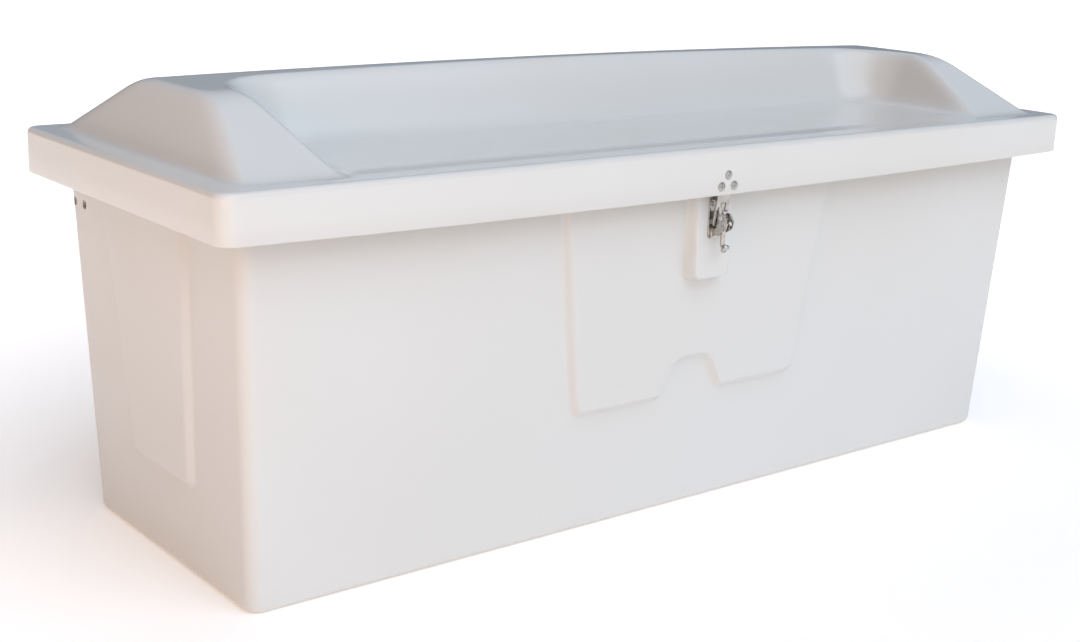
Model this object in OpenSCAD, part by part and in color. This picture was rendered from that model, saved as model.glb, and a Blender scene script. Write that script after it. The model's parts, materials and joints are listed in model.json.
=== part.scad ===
// Moulded dock box with a seat-top lid, a continuous rear hinge, a lever latch and two gas stays.
// Millimetres. +X runs along the length, +Y to the hinge side, +Z up; origin at the middle of the base.

/* [Tub] */
// Length of the base
base_length = 1672; // [1640:1:1690]
// Depth of the base, front to back
base_depth = 530; // [520:1:536]
// Height of the rim
rim_height = 628; // [626:1:630]
// Outward lean of every wall, in mm per mm of height
draft = 0.0419; // [0.03:0.0001:0.045]
// Laminate thickness
wall = 5; // [4:0.5:6]
// Radius of the upright corners
tub_corner = 24; // [16:1:30]
// Radius where the walls meet the floor
foot_radius = 14; // [6:1:15]

/* [Front panel] */
// Height of the raised panel above the wall
panel_raise = 12; // [8:1:14]
// Half width of the panel at its lower edge
panel_low_half = 248; // [200:1:300]
// Half width of the panel at the rim
panel_top_half = 304; // [260:1:360]
// Height of the lower edge of the panel
panel_low = 206; // [150:1:260]
// Half width of the notch at the lower edge
notch_low_half = 71; // [50:1:90]
// Half width of the notch at its top
notch_top_half = 35; // [20:1:45]
// Depth of the notch
notch_height = 58; // [40:1:80]
// Half width of the latch pad
pad_half = 40; // [38:1:48]
// Lower end of the latch pad
pad_low = 418; // [390:1:440]
// Distance of the pad face from the middle of the base
pad_face = 319; // [318:0.5:320]
// Height of the raised end panels above the wall
end_raise = 10; // [8:1:12]

/* [Lid] */
// Length over the skirt
lid_length = 1830; // [1826:1:1834]
// Front face of the skirt, from the middle of the base
lid_front = 344; // [343:0.5:346]
// Rear face of the skirt, from the middle of the base
lid_rear = 328; // [328:0.5:328]
// Lower edge of the skirt at the corners
skirt_low = 571; // [571:1:572]
// Extra depth of the front skirt at mid-length
skirt_bow = 8; // [0:1:9]
// Top of the flat flange
lid_top = 643; // [643:0.5:644]
// Height of the bolster above the flange
bolster_height = 97; // [80:1:110]
// Extra height of the back rest at mid-length
back_crown = 10; // [2:1:14]

/* [Hinge] */
// Radius of the hinge pin
pin_radius = 2; // [2:0.1:2.2]
// Length of one knuckle
knuckle = 50; // [50:50:100]
// Length of the hinge
hinge_length = 1700; // [1500:100:1700]
// Spacing of the hinge rivets
rivet_pitch = 100; // [100:50:200]

/* [Latch] */
// Height of the lever pivot
pivot_height = 524; // [520:1:528]
// Length of the lever's shank, from its pivot to the bend
lever_bend = 46; // [40:1:50]
// Width of the strap
strap_width = 29; // [28:1:30]

/* [Stays] */
// Distance of each stay from the middle of the box
stay_x = 690; // [600:5:690]
// Radius of the stay's cylinder
stay_radius = 10; // [8:0.5:11]

/* [Hidden] */
$fn = 48;
half_l = base_length / 2;
half_d = base_depth / 2;
draft_angle = atan(draft);
// rim: flange outline, lip
rim_x = 885;
rim_front = pad_face - 1.5;
rim_rear = 315;
lip_drop = 18;
flange_under = rim_height - wall;
// vents, beside the rear corners
vent_y = [232, 269];
vent_z = 527;
vent_radius = 7.5;
// hinge axis
hinge_y = rim_rear + 4;
hinge_z = 565;
leaf = 1.5;
knuckle_radius = 4;
running = 0.05;
leaf_top = hinge_z + 38;
// lid
lid_half = lid_length / 2;
lid_under = lid_top - wall;
// latch
pivot_y = -(lid_front - 4);
strap_t = 3;
strap_bend = 565;
strap_top = 608;
strap_drop = 57;
strap_lean = 10;
strap_front = -(lid_front - wall);
plate_t = 2.5;
ear_in = 6;
ear_out = ear_in + plate_t;
plate_half = 16;
plate_low = 487;
plate_high = 555;
shank_radius = 4.5;
head_radius = 8;
head_tilt = 55;
shackle_offset = 9;
shackle_radius = 3.5;
rivet_shank = 2.4;
rivet_hole = rivet_shank + 0.05;
// stays: foot on the rear wall, head under the seat
stay_foot = [252, 330];
stay_head = [-60, 612];
stay_vec = stay_head - stay_foot;
stay_closed = norm(stay_vec);
stay_lean = atan2(-stay_vec[0], stay_vec[1]);
stay_tube = 245;
eye_radius = 8;
eye_half = 5;
stud_radius = 4;
bracket_t = 3;
bolt_radius = 3;
bolt_half_pitch = 18;
screw_radius = 1.8;
screw_hole = screw_radius + 0.05;
core_t = 12;
core_low = lid_under - core_t;

// a plate with rounded corners: x from x0 to x1, y from y0 to y1
module rounded_plan(x0, x1, y0, y1, r) {
    translate([x0 + r, y0]) square([x1 - x0 - 2 * r, y1 - y0]);
    translate([x0, y0 + r]) square([x1 - x0, y1 - y0 - 2 * r]);
    for (x = [x0 + r, x1 - r], y = [y0 + r, y1 - r]) translate([x, y]) circle(r);
}

module slab(x0, x1, y0, y1, r, z0, z1) {
    translate([0, 0, z0]) linear_extrude(z1 - z0) rounded_plan(x0, x1, y0, y1, r);
}

// a closed ring of rounded rectangles, x and y limits of the outside, and its width
module ring(x, y0, y1, r, w, z0, z1) {
    difference() {
        slab(-x, x, y0, y1, r, z0, z1);
        slab(-x + w, x - w, y0 + w, y1 - w, r - w, z0 - 1, z1 + 1);
    }
}

// one level of the drafted tub: four corner discs
module tub_level(z, inset, r) {
    x = half_l + draft * z - inset - r;
    y = half_d + draft * z - inset - r;
    for (sx = [-1, 1], sy = [-1, 1]) translate([sx * x, sy * y, z]) cylinder(h = 0.01, r = r, $fn = 32);
}

module tub_body(inset, low, high) {
    foot = foot_radius - inset;
    hull() {
        tub_level(high, inset, tub_corner - inset);
        for (a = [0, 22.5, 45, 67.5, 90]) {
            tub_level(low + foot * (1 - cos(a)), inset + foot * (1 - sin(a)), tub_corner - inset);
        }
    }
}

// outline of the raised front panel, seen from the front, grown inwards by inset
module panel_outline(inset) {
    low = panel_low + inset;
    slope = (panel_top_half - panel_low_half) / (rim_height - panel_low);
    top = flange_under + 2 - inset;
    half_low = panel_low_half - inset + slope * inset;
    half_top = half_low + slope * (top - low);
    notch_top = panel_low + notch_height + inset;
    notch_out = notch_low_half + inset;
    notch_in = notch_top_half + inset;
    corner = 8;
    polygon([
        [-half_low - slope * corner, low + corner], [-half_low + corner, low], [-notch_out, low],
        [-notch_in, notch_top], [notch_in, notch_top], [notch_out, low],
        [half_low - corner, low], [half_low + slope * corner, low + corner],
        [half_top, top], [-half_top, top]
    ]);
}

// the panel as a slab that leans with the front wall, depth measured out from the wall
module panel_slab(inset, depth_in, depth_out) {
    translate([0, -half_d, 0]) rotate([draft_angle, 0, 0]) rotate([90, 0, 0])
        translate([0, 0, depth_in]) linear_extrude(depth_out - depth_in) panel_outline(inset);
}

// the latch pad: an upright block with a round foot
module pad_block(inset, front) {
    half = pad_half - inset;
    foot_r = 14;
    top = flange_under + 3 - 2 * inset;
    translate([0, -front, 0]) rotate([-90, 0, 0]) linear_extrude(front - half_d - wall) mirror([0, 1]) {
        translate([-half, pad_low + inset + foot_r]) square([2 * half, top - pad_low - inset - foot_r]);
        translate([-half + foot_r, pad_low + inset]) square([2 * (half - foot_r), foot_r + 1]);
        for (s = [-1, 1]) translate([s * (half - foot_r), pad_low + inset + foot_r]) circle(foot_r);
    }
}

// the raised panel on each end wall, side = -1 left or 1 right
module end_panel(side, inset, depth_in, depth_out) {
    top = flange_under + 1.5 - inset;
    translate([side * half_l, 0, 0]) rotate([0, side * draft_angle, 0])
        rotate([0, 0, side * 90]) rotate([90, 0, 0])
        translate([0, 0, depth_in]) linear_extrude(depth_out - depth_in)
            polygon([
                [side * (-112 + inset), 156 + inset], [side * (84 - inset), 156 + inset],
                [side * (128 - inset), 470], [side * (138 - inset), 500],
                [side * (138 - inset), top], [side * (-142 + inset), top]
            ]);
}

// vent holes in both end walls, near the rear corner
module vent_holes() {
    for (s = [-1, 1], y = vent_y) translate([s * half_l, y, vent_z]) rotate([0, s * 90, 0])
        translate([0, 0, -10]) cylinder(h = 60, r = vent_radius);
}

module along_hinge(first, step) {
    for (x = [first : step : hinge_length / 2 - 20]) translate([x, 0, 0]) children();
}

module tub_shell() {
    color("ghostwhite") difference() {
        union() {
            tub_body(0, 0, rim_height - 1);
            panel_slab(0, -wall, panel_raise);
            pad_block(0, pad_face);
            for (s = [-1, 1]) end_panel(s, 0, -2, end_raise);
            slab(-rim_x, rim_x, -rim_front, rim_rear, 40, flange_under, rim_height);
            ring(rim_x, -rim_front, rim_rear, 40, wall, flange_under - lip_drop, flange_under + 1);
            translate([-hinge_length / 2 - 5, rim_rear - wall, skirt_low])
                cube([hinge_length + 10, wall, flange_under - skirt_low + 1]);
        }
        tub_body(wall, wall, rim_height + 1);
        panel_slab(wall, -wall - 1, panel_raise - wall);
        pad_block(wall, pad_face - wall);
        for (s = [-1, 1]) end_panel(s, wall, -wall - 1, end_raise - wall);
        vent_holes();
        tub_leaf_holes(rivet_hole);
        catch_points() cylinder(h = 30, r = rivet_hole, center = true);
        stay_bolt_points() cylinder(h = 40, r = bolt_radius + 0.05, center = true);
    }
}

module rim_gasket() {
    color("dimgray") ring(874, -306, 304, 30, 10, rim_height, lid_under - 0.3);
}

// knuckles of one leaf: start is 0 for the tub leaf and 1 for the lid leaf
module knuckles(start) {
    for (x = [-hinge_length / 2 + start * knuckle : 2 * knuckle : hinge_length / 2 - knuckle])
        translate([x + 0.2, hinge_y, hinge_z]) rotate([0, 90, 0])
            cylinder(h = knuckle - 0.4, r = knuckle_radius);
}

module knuckle_gaps(start) {
    for (x = [-hinge_length / 2 + start * knuckle : 2 * knuckle : hinge_length / 2 - knuckle])
        translate([x - 0.2, hinge_y - 6, hinge_z - 6]) cube([knuckle + 0.4, 12, 11]);
}

module pin_bore() {
    translate([-hinge_length / 2 - 1, hinge_y, hinge_z]) rotate([0, 90, 0])
        cylinder(h = hinge_length + 2, r = pin_radius + running);
}

module tub_leaf_holes(r) {
    along_hinge(-hinge_length / 2 + 25, rivet_pitch) translate([0, rim_rear, 588]) rotate([90, 0, 0])
        cylinder(h = 16, r = r, center = true);
}

module lid_leaf_holes(r) {
    along_hinge(-hinge_length / 2 + 75, rivet_pitch) translate([0, lid_rear - wall, 592]) rotate([90, 0, 0])
        cylinder(h = 16, r = r, center = true);
}

module tub_hinge_leaf() {
    color("silver") difference() {
        union() {
            difference() {
                translate([-hinge_length / 2 + 0.2, rim_rear, hinge_z])
                    cube([hinge_length - 0.4, leaf, leaf_top - hinge_z]);
                knuckle_gaps(1);
            }
            knuckles(0);
        }
        pin_bore();
        tub_leaf_holes(rivet_hole);
    }
}

module lid_hinge_leaf() {
    color("silver") difference() {
        union() {
            difference() {
                translate([-hinge_length / 2 + 0.2, hinge_y + 4 - leaf, hinge_z])
                    cube([hinge_length - 0.4, leaf, leaf_top - hinge_z]);
                knuckle_gaps(0);
            }
            knuckles(1);
        }
        pin_bore();
        lid_leaf_holes(rivet_hole);
    }
}

module hinge_pin() {
    color("gainsboro") translate([-hinge_length / 2 + 1, hinge_y, hinge_z]) rotate([0, 90, 0])
        cylinder(h = hinge_length - 2, r = pin_radius);
}

// a blind rivet along +Z: its flange sits on z = 0 and its shank runs down through grip
module rivet(head_r, head_h, grip, tail_r = 4, tail_h = 2) {
    cylinder(h = head_h, r1 = head_r, r2 = head_r * 0.7);
    translate([0, 0, -grip - tail_h]) cylinder(h = grip + tail_h + 0.5, r = rivet_shank);
    translate([0, 0, -grip - tail_h]) cylinder(h = tail_h, r = tail_r);
}

module tub_hinge_rivets() {
    color("silver") along_hinge(-hinge_length / 2 + 25, rivet_pitch)
        translate([0, rim_rear + leaf, 588]) rotate([-90, 0, 0]) rivet(5, 1.2, wall + leaf);
}

module lid_hinge_rivets() {
    color("silver") along_hinge(-hinge_length / 2 + 75, rivet_pitch)
        translate([0, lid_rear, 592]) rotate([-90, 0, 0]) rivet(5, 1.2, wall + leaf, 4, 1.5);
}

// the four fixing points of the catch base, drill axis along Y
module catch_points() {
    for (x = [-10, 10], z = [516, 546]) translate([x, -pad_face, z]) rotate([90, 0, 0]) children();
}

module catch_base() {
    color("silver") difference() {
        union() {
            translate([0, -pad_face, 0]) rotate([90, 0, 0]) linear_extrude(plate_t)
                rounded_plan(-plate_half, plate_half, plate_low, plate_high, 6);
            for (s = [-1, 1]) translate([s > 0 ? ear_in : -ear_out, 0, 0]) rotate([90, 0, 90])
                linear_extrude(plate_t) ear_outline();
        }
        lever_axis() cylinder(h = 60, r = 2.5, center = true);
        shackle_axis() cylinder(h = 60, r = shackle_radius, center = true);
        catch_points() cylinder(h = 30, r = rivet_hole, center = true);
    }
}

// an ear seen from the side, y outwards to the rear, z up: it starts below the strap and rises in front of it
module ear_outline() {
    root = -pad_face - 1;
    translate([pivot_y, pivot_height]) circle(7);
    translate([pivot_y - shackle_offset, pivot_height - shackle_offset]) circle(6.5);
    polygon([
        [root, 489], [root, 504], [root - 6, 504.5], [root - 10.4, 507], [pivot_y + 6.7, pivot_height + 2],
        [pivot_y - 2, pivot_height + 6.7],
        [pivot_y - shackle_offset - 5.6, pivot_height - shackle_offset + 3.3],
        [pivot_y - shackle_offset - 1, pivot_height - shackle_offset - 6.4],
        [root - 9, 492.5]
    ]);
}

module lever_axis() {
    translate([0, pivot_y, pivot_height]) rotate([0, 90, 0]) children();
}

module shackle_axis() {
    translate([0, pivot_y - shackle_offset, pivot_height - shackle_offset]) rotate([0, 90, 0]) children();
}

module catch_rivets() {
    color("silver") catch_points() translate([0, 0, plate_t]) rivet(4.5, 1.4, plate_t + wall + 2);
}

module catch_backing_plate() {
    color("silver") difference() {
        translate([-plate_half + 1, -pad_face + wall, plate_low + 1])
            cube([2 * plate_half - 2, 2, plate_high - plate_low - 2]);
        catch_points() cylinder(h = 40, r = rivet_hole, center = true);
    }
}

module lever_pin() {
    color("gainsboro") lever_axis() {
        cylinder(h = 2 * ear_out, r = 2.5, center = true);
        for (s = [-1, 1]) translate([0, 0, s * (ear_out + 0.75)]) cylinder(h = 1.5, r = 4.2, center = true);
    }
}

// hanging lever: eye on the pin, round shank, a dished head turned forward, and a nose that points up at rest
module lever() {
    color("gainsboro") difference() {
        union() {
            lever_axis() cylinder(h = 2 * ear_in - 2, r = 6.5, center = true);
            translate([0, pivot_y, pivot_height]) {
                translate([-4, -2.5, 0]) cube([8, 5, 13]);
                translate([0, 0, -lever_bend]) cylinder(h = lever_bend - 4, r = shank_radius);
                translate([0, 0, -lever_bend]) sphere(shank_radius);
                translate([0, 0, -lever_bend]) rotate([180 - head_tilt, 0, 0]) rotate_extrude()
                    polygon([
                        [0, 0], [shank_radius, 0], [shank_radius, 2], [head_radius, 6.5], [head_radius, 10],
                        [6.2, 10], [4.6, 8.4], [0, 8.4]
                    ]);
            }
        }
        lever_axis() cylinder(h = 12, r = 2.55, center = true);
    }
}

// side view of the strap: y outwards to the rear, z up, with one bend
module strap_profile() {
    front_end = [strap_front + strap_drop * sin(strap_lean), strap_bend - strap_drop * cos(strap_lean)];
    polygon([
        [strap_front, strap_top], [strap_front, strap_bend], front_end,
        front_end + strap_t * [cos(strap_lean), sin(strap_lean)],
        [strap_front + strap_t, strap_bend + strap_t * tan(strap_lean / 2)],
        [strap_front + strap_t, strap_top]
    ]);
}

// strap riveted inside the skirt, bent back below it, with a slot for the nose of the lever
module strap() {
    color("silver") difference() {
        intersection() {
            translate([-30, 0, 0]) rotate([90, 0, 90]) linear_extrude(60) strap_profile();
            translate([0, strap_front + 30, 0]) rotate([90, 0, 0]) linear_extrude(40) {
                polygon([[-24, 568], [24, 568], [24, 585], [12, strap_top], [-12, strap_top], [-24, 585]]);
                rounded_plan(-strap_width / 2, strap_width / 2,
                    strap_bend - strap_drop * cos(strap_lean), 585, 7);
            }
        }
        translate([0, strap_front, strap_bend]) rotate([strap_lean, 0, 0])
            translate([0, 6, 0]) rotate([90, 0, 0]) linear_extrude(12) rounded_plan(-7, 7, -47, -15, 6.9);
        strap_points() cylinder(h = 30, r = rivet_hole, center = true);
    }
}

module strap_points() {
    for (p = [[0, 596], [-14.2, 577.5], [14.2, 577.5]])
        translate([p[0], -lid_front, p[1]]) rotate([90, 0, 0]) children();
}

module strap_rivets() {
    color("silver") strap_points() rivet(8, 1.4, wall + strap_t);
}

// one level of the bolster: x half width, y limits
module bolster_level(x, y0, y1, r, z) {
    for (sx = [-1, 1]) {
        translate([sx * (x - r), y0 + r, z]) cylinder(h = 0.01, r = r, $fn = 32);
        translate([sx * (x - r), y1 - r, z]) cylinder(h = 0.01, r = r, $fn = 32);
    }
}

module bolster_body(inset) {
    top = lid_top + bolster_height - inset;
    hull() {
        bolster_level(868 - inset, -295 + inset, 292 - inset, 30, lid_top - inset - 1);
        bolster_level(824 - inset, -140 + inset, 146 - inset, 30, top - 12);
        bolster_level(800 - inset, -111 + inset, 117 - inset, 26, top);
        translate([0, 80, top]) scale([1, 0.1, 1]) for (x = [-400, 0, 400])
            translate([x, 0, 0]) cylinder(h = back_crown * (1 - pow(x / 800, 2)), r = 20, $fn = 16);
    }
}

// the seat opening between the arm rests: open at the front
module seat_cut(inset) {
    z0 = lid_top - inset;
    hull() {
        bolster_level(690 + inset, -420, -20 + inset, 60, z0);
        bolster_level(712 + inset, -420, 4 + inset, 60, z0 + 12);
        bolster_level(748 + inset, -420, 40 + inset, 60, z0 + bolster_height + 30);
    }
}

module front_bow() {
    steps = 24;
    half = lid_half - 26;
    translate([0, -lid_front + wall, 0]) rotate([90, 0, 0]) linear_extrude(wall)
        polygon(concat(
            [[half, skirt_low + 2], [-half, skirt_low + 2]],
            [for (i = [0 : steps]) let (x = -half + 2 * half * i / steps)
                [x, skirt_low - skirt_bow * (1 - pow(x / half, 2))]]
        ));
}

module lid_shell() {
    edge = 9;
    color("ghostwhite") difference() {
        union() {
            slab(-lid_half, lid_half, -lid_front, lid_rear, 26, skirt_low, lid_top - edge);
            hull() for (a = [0, 30, 60, 90])
                slab(-lid_half + edge * (1 - cos(a)), lid_half - edge * (1 - cos(a)),
                    -lid_front + edge * (1 - cos(a)), lid_rear - edge * (1 - cos(a)),
                    26 - edge * (1 - cos(a)),
                    lid_top - edge - 0.01 + edge * sin(a), lid_top - edge + edge * sin(a));
            difference() {
                bolster_body(0);
                seat_cut(0);
            }
            front_bow();
        }
        slab(-lid_half + wall, lid_half - wall, -lid_front + wall, lid_rear - wall, 21,
            skirt_low - 1, lid_under);
        difference() {
            bolster_body(wall);
            seat_cut(wall);
        }
        lid_leaf_holes(rivet_hole);
        strap_points() cylinder(h = 20, r = rivet_hole, center = true);
    }
}

module seat_core() {
    color("burlywood") difference() {
        slab(-720, 720, -272, -30, 12, core_low, lid_under);
        lid_screw_points() translate([0, 0, -1]) cylinder(h = 9, r = screw_hole);
    }
}

// anything drawn for the right-hand stay, drawn again mirrored for the left
module both_stays() {
    for (s = [0, 1]) mirror([s, 0, 0]) children();
}

// children drawn on the outside of the rear wall at the height of the stay feet, +Z out of the wall
module on_rear_wall(x) {
    translate([x, half_d + draft * stay_foot[1], stay_foot[1]]) rotate([-90 - draft_angle, 0, 0]) children();
}

module stay_bolt_points() {
    both_stays() for (dx = [-bolt_half_pitch, bolt_half_pitch]) on_rear_wall(stay_x + 8 + dx) children();
}

module stay_wall_brackets() {
    plate_out = -wall - 0.02;
    web_end = half_d + draft * stay_foot[1] - wall - 1.5;
    color("silver") both_stays() difference() {
        union() {
            on_rear_wall(stay_x + 8) translate([-28, -20, plate_out - bracket_t]) cube([56, 40, bracket_t]);
            translate([stay_x + 7, 0, 0]) rotate([90, 0, 90]) linear_extrude(bracket_t) {
                translate([stay_foot[0], stay_foot[1]]) circle(10.5);
                translate([stay_foot[0], stay_foot[1] - 10.5]) square([web_end - stay_foot[0], 21]);
            }
            translate([stay_x, stay_foot[0], stay_foot[1]]) rotate([0, 90, 0]) {
                translate([0, 0, -7]) cylinder(h = 15, r = stud_radius);
                translate([0, 0, -9.5]) cylinder(h = 2.6, r = 6.5);
            }
        }
        for (dx = [-bolt_half_pitch, bolt_half_pitch]) on_rear_wall(stay_x + 8 + dx)
            cylinder(h = 40, r = bolt_radius + 0.05, center = true);
    }
}

module stay_wall_bolts() {
    nut_top = -wall - bracket_t - 0.1;
    color("silver") stay_bolt_points() {
        translate([0, 0, 0.02]) cylinder(h = 3.2, r1 = 6, r2 = 4.2);
        translate([0, 0, nut_top - 6]) cylinder(h = 6 - nut_top + 0.5, r = bolt_radius);
        translate([0, 0, nut_top - 4.6]) cylinder(h = 4.6, r = 5.5, $fn = 6);
    }
}

module lid_screw_points() {
    both_stays() for (dx = [-14, 14], dy = [-16, 16])
        translate([stay_x + 14 + dx, stay_head[0] + dy, core_low]) children();
}

module stay_lid_brackets() {
    color("silver") both_stays() difference() {
        union() {
            translate([stay_x - 8, stay_head[0] - 23, core_low - bracket_t]) cube([44, 46, bracket_t]);
            translate([stay_x + 7, stay_head[0] - 11, stay_head[1] - 11])
                cube([bracket_t, 22, core_low - stay_head[1] + 9]);
        }
        for (dx = [-14, 14], dy = [-16, 16])
            translate([stay_x + 14 + dx, stay_head[0] + dy, core_low - 5]) cylinder(h = 9, r = screw_hole);
    }
}

module stay_lid_screws() {
    color("silver") lid_screw_points() {
        translate([0, 0, -bracket_t - 1.6]) cylinder(h = 1.6, r1 = 2.4, r2 = 3.6);
        translate([0, 0, -3.2]) cylinder(h = 11, r = screw_radius);
    }
}

// stay frame: foot at the origin, the stay along +Z
module on_stay(side) {
    translate([side * stay_x, stay_foot[0], stay_foot[1]]) rotate([stay_lean, 0, 0]) children();
}

module stay_eye(bore) {
    rotate([0, 90, 0]) difference() {
        cylinder(h = 2 * eye_half, r = eye_radius, center = true);
        if (bore > 0) cylinder(h = 20, r = bore, center = true);
    }
}

module stay_cylinder(side) {
    color("dimgray") on_stay(side) {
        stay_eye(stud_radius + running);
        difference() {
            translate([0, 0, 7]) cylinder(h = 9, r = 5);
            rotate([0, 90, 0]) cylinder(h = 20, r = stud_radius + running, center = true);
        }
        difference() {
            translate([0, 0, 14]) cylinder(h = stay_tube, r = stay_radius);
            translate([0, 0, 24]) cylinder(h = stay_tube + 1, r = 4.05);
        }
    }
}

module stay_rod(side) {
    tip = stay_closed;
    color("gainsboro") on_stay(side) {
        translate([0, 0, 40]) cylinder(h = tip - 46, r = 4);
        translate([0, 0, tip - 18]) cylinder(h = 11, r = 5.5);
        translate([0, 0, tip]) stay_eye(0);
        translate([side * (eye_half + 0.85), 0, tip]) rotate([0, 90, 0])
            cylinder(h = 1.7, r = stud_radius, center = true);
    }
}

module stay_cylinder_left() { stay_cylinder(-1); }
module stay_rod_left() { stay_rod(-1); }
module stay_cylinder_right() { stay_cylinder(1); }
module stay_rod_right() { stay_rod(1); }

tub_shell();
rim_gasket();
tub_hinge_leaf();
hinge_pin();
tub_hinge_rivets();
catch_base();
catch_rivets();
catch_backing_plate();
lever_pin();
stay_wall_brackets();
stay_wall_bolts();
lid_shell();
seat_core();
lid_hinge_leaf();
lid_hinge_rivets();
strap();
strap_rivets();
stay_lid_brackets();
stay_lid_screws();
lever();
stay_cylinder_left();
stay_rod_left();
stay_cylinder_right();
stay_rod_right();
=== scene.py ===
"""Finished model of a seat-top dock box: moulded shells, hinge, lever latch, gas stays and a plain stage."""

import json
import math

import bmesh
import bpy
import numpy as np
from mathutils import Matrix, Vector


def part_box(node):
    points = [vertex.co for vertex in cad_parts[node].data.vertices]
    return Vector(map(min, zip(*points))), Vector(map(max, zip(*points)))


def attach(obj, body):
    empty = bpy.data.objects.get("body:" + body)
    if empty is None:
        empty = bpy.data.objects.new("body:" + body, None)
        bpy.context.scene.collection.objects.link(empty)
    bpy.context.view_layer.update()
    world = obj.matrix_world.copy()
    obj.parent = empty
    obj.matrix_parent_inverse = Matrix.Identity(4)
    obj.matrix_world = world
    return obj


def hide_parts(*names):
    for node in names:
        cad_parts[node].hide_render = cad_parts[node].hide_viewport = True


bl_info = {
    "name": "Dock Box",
    "version": (1, 0, 0),
    "blender": (4, 5, 0),
    "location": "View3D > Sidebar > Dock Box",
    "description": "Builds the moulded shells and fittings of a seat-top dock box around its frame",
    "category": "Object",
}

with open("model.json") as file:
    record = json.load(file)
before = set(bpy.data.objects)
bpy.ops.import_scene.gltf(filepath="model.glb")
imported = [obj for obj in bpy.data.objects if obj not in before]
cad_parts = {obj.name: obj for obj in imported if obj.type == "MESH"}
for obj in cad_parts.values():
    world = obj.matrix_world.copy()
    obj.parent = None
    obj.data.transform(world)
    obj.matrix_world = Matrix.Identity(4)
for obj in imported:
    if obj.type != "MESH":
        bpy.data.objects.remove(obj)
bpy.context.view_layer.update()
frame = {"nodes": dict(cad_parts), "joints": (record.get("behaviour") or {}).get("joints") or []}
NODES = frame["nodes"]
JOINTS = {joint["name"]: joint for joint in frame["joints"]}
MM = 0.001

LID_LOW, LID_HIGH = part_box("lid_shell")
TUB_LOW, TUB_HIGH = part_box("tub_shell")
PLATE_LOW, PLATE_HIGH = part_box("catch_base")
STRAP_LOW, STRAP_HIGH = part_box("strap")
HINGE_LOW, HINGE_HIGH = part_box("hinge_pin")
LEVER_PIVOT = Vector(JOINTS["lever_pivot"]["pos_m"])
PLATE_THICK = 2.5 * MM
EAR_GAP = 6 * MM


# ---------------------------------------------------------------------------
# Sizes and colours that a user would change
# ---------------------------------------------------------------------------

def length_value(name, default, description):
    """A length property in metres."""
    return bpy.props.FloatProperty(name=name, description=description, default=default, unit="LENGTH",
                                   precision=4)


def colour_value(name, code, description):
    """A colour property whose default is an sRGB hex code."""
    return bpy.props.FloatVectorProperty(
        name=name, description=description, subtype="COLOR", size=3, min=0.0, max=1.0, default=linear(code))


def linear(code):
    """An sRGB hex code as three linear values."""
    channels = [int(code[i:i + 2], 16) / 255.0 for i in (1, 3, 5)]
    return tuple(c / 12.92 if c <= 0.04045 else ((c + 0.055) / 1.055) ** 2.4 for c in channels)


class DockBoxSizes(bpy.types.PropertyGroup):
    """Sizes of the moulded shells, in metres."""

    base_length: length_value("Base length", 1672 * MM, "Length of the flat underside of the tub")
    base_depth: length_value("Base depth", 530 * MM, "Depth of the flat underside of the tub")
    rim_height: length_value("Rim height", TUB_HIGH.z, "Height of the rim of the tub")
    draft: bpy.props.FloatProperty(name="Draft", description="Outward lean of each wall per unit of height",
                                   default=0.0419)
    laminate: length_value("Laminate", 5 * MM, "Thickness of the glass-fibre laminate")
    tub_corner: length_value("Tub corner", 24 * MM, "Radius of the upright corners of the tub")
    foot_radius: length_value("Foot radius", 14 * MM, "Radius where the walls meet the floor")
    panel_raise: length_value("Panel raise", 12 * MM, "Height of the raised front panel above the wall")
    end_raise: length_value("End panel raise", 10 * MM, "Height of the raised end panels above the wall")
    lid_corner: length_value("Lid corner", 26 * MM, "Radius of the upright corners of the lid")
    lid_edge: length_value("Lid edge", 9 * MM, "Radius of the top edge of the skirt")
    skirt_low: length_value("Skirt lower edge", 571 * MM, "Height of the skirt's lower edge at the corners")
    skirt_bow: length_value("Skirt bow", 8 * MM, "Extra depth of the front skirt at mid-length")
    flange_top: length_value("Flange top", 643 * MM, "Height of the flat flange of the lid")
    rest_height: length_value("Rest height", 97 * MM, "Height of the arm and back rests above the flange")
    crown: length_value("Back crown", 10 * MM, "Extra height of the back rest at mid-length")


class DockBoxColours(bpy.types.PropertyGroup):
    """Colours of the finishes."""

    gelcoat: colour_value("Gelcoat", "#dddcd9", "White gelcoat of both shells")
    gelcoat_warm: colour_value("Weathered gelcoat", "#dbd9d4", "Slightly yellowed patches of the gelcoat")
    laminate: colour_value("Laminate", "#d5d4c8", "Flow-coated inside of the laminate")
    stainless: colour_value("Stainless", "#c3c0ba", "Stamped stainless steel")
    rod: colour_value("Polished rod", "#d8d8d8", "Ground and plated rod")
    paint: colour_value("Stay paint", "#1b1c1e", "Baked black paint of the gas cylinders")
    rubber: colour_value("Rubber", "#26272a", "Extruded sponge rubber")
    balsa: colour_value("Core panel", "#b98f5f", "End-grain core under the seat")
    floor: colour_value("Floor", "#f4f4f4", "Plain studio floor")
    floor_glow: colour_value("Floor glow", "#ffeee0", "Light that comes up from the studio floor")


# ---------------------------------------------------------------------------
# Mesh tools
# ---------------------------------------------------------------------------

def make_object(name, verts, faces, materials, face_slots=None, sharp=35.0):
    """A mesh object with smooth faces, split where two faces meet at more than the sharp angle in degrees."""
    mesh = bpy.data.meshes.new(name)
    mesh.from_pydata([tuple(v) for v in verts], [], faces)
    for material in materials:
        mesh.materials.append(material)
    if face_slots is not None:
        mesh.polygons.foreach_set("material_index", face_slots)
    obj = bpy.data.objects.new(name, mesh)
    bpy.context.scene.collection.objects.link(obj)
    tidy(obj, sharp)
    return obj


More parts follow.
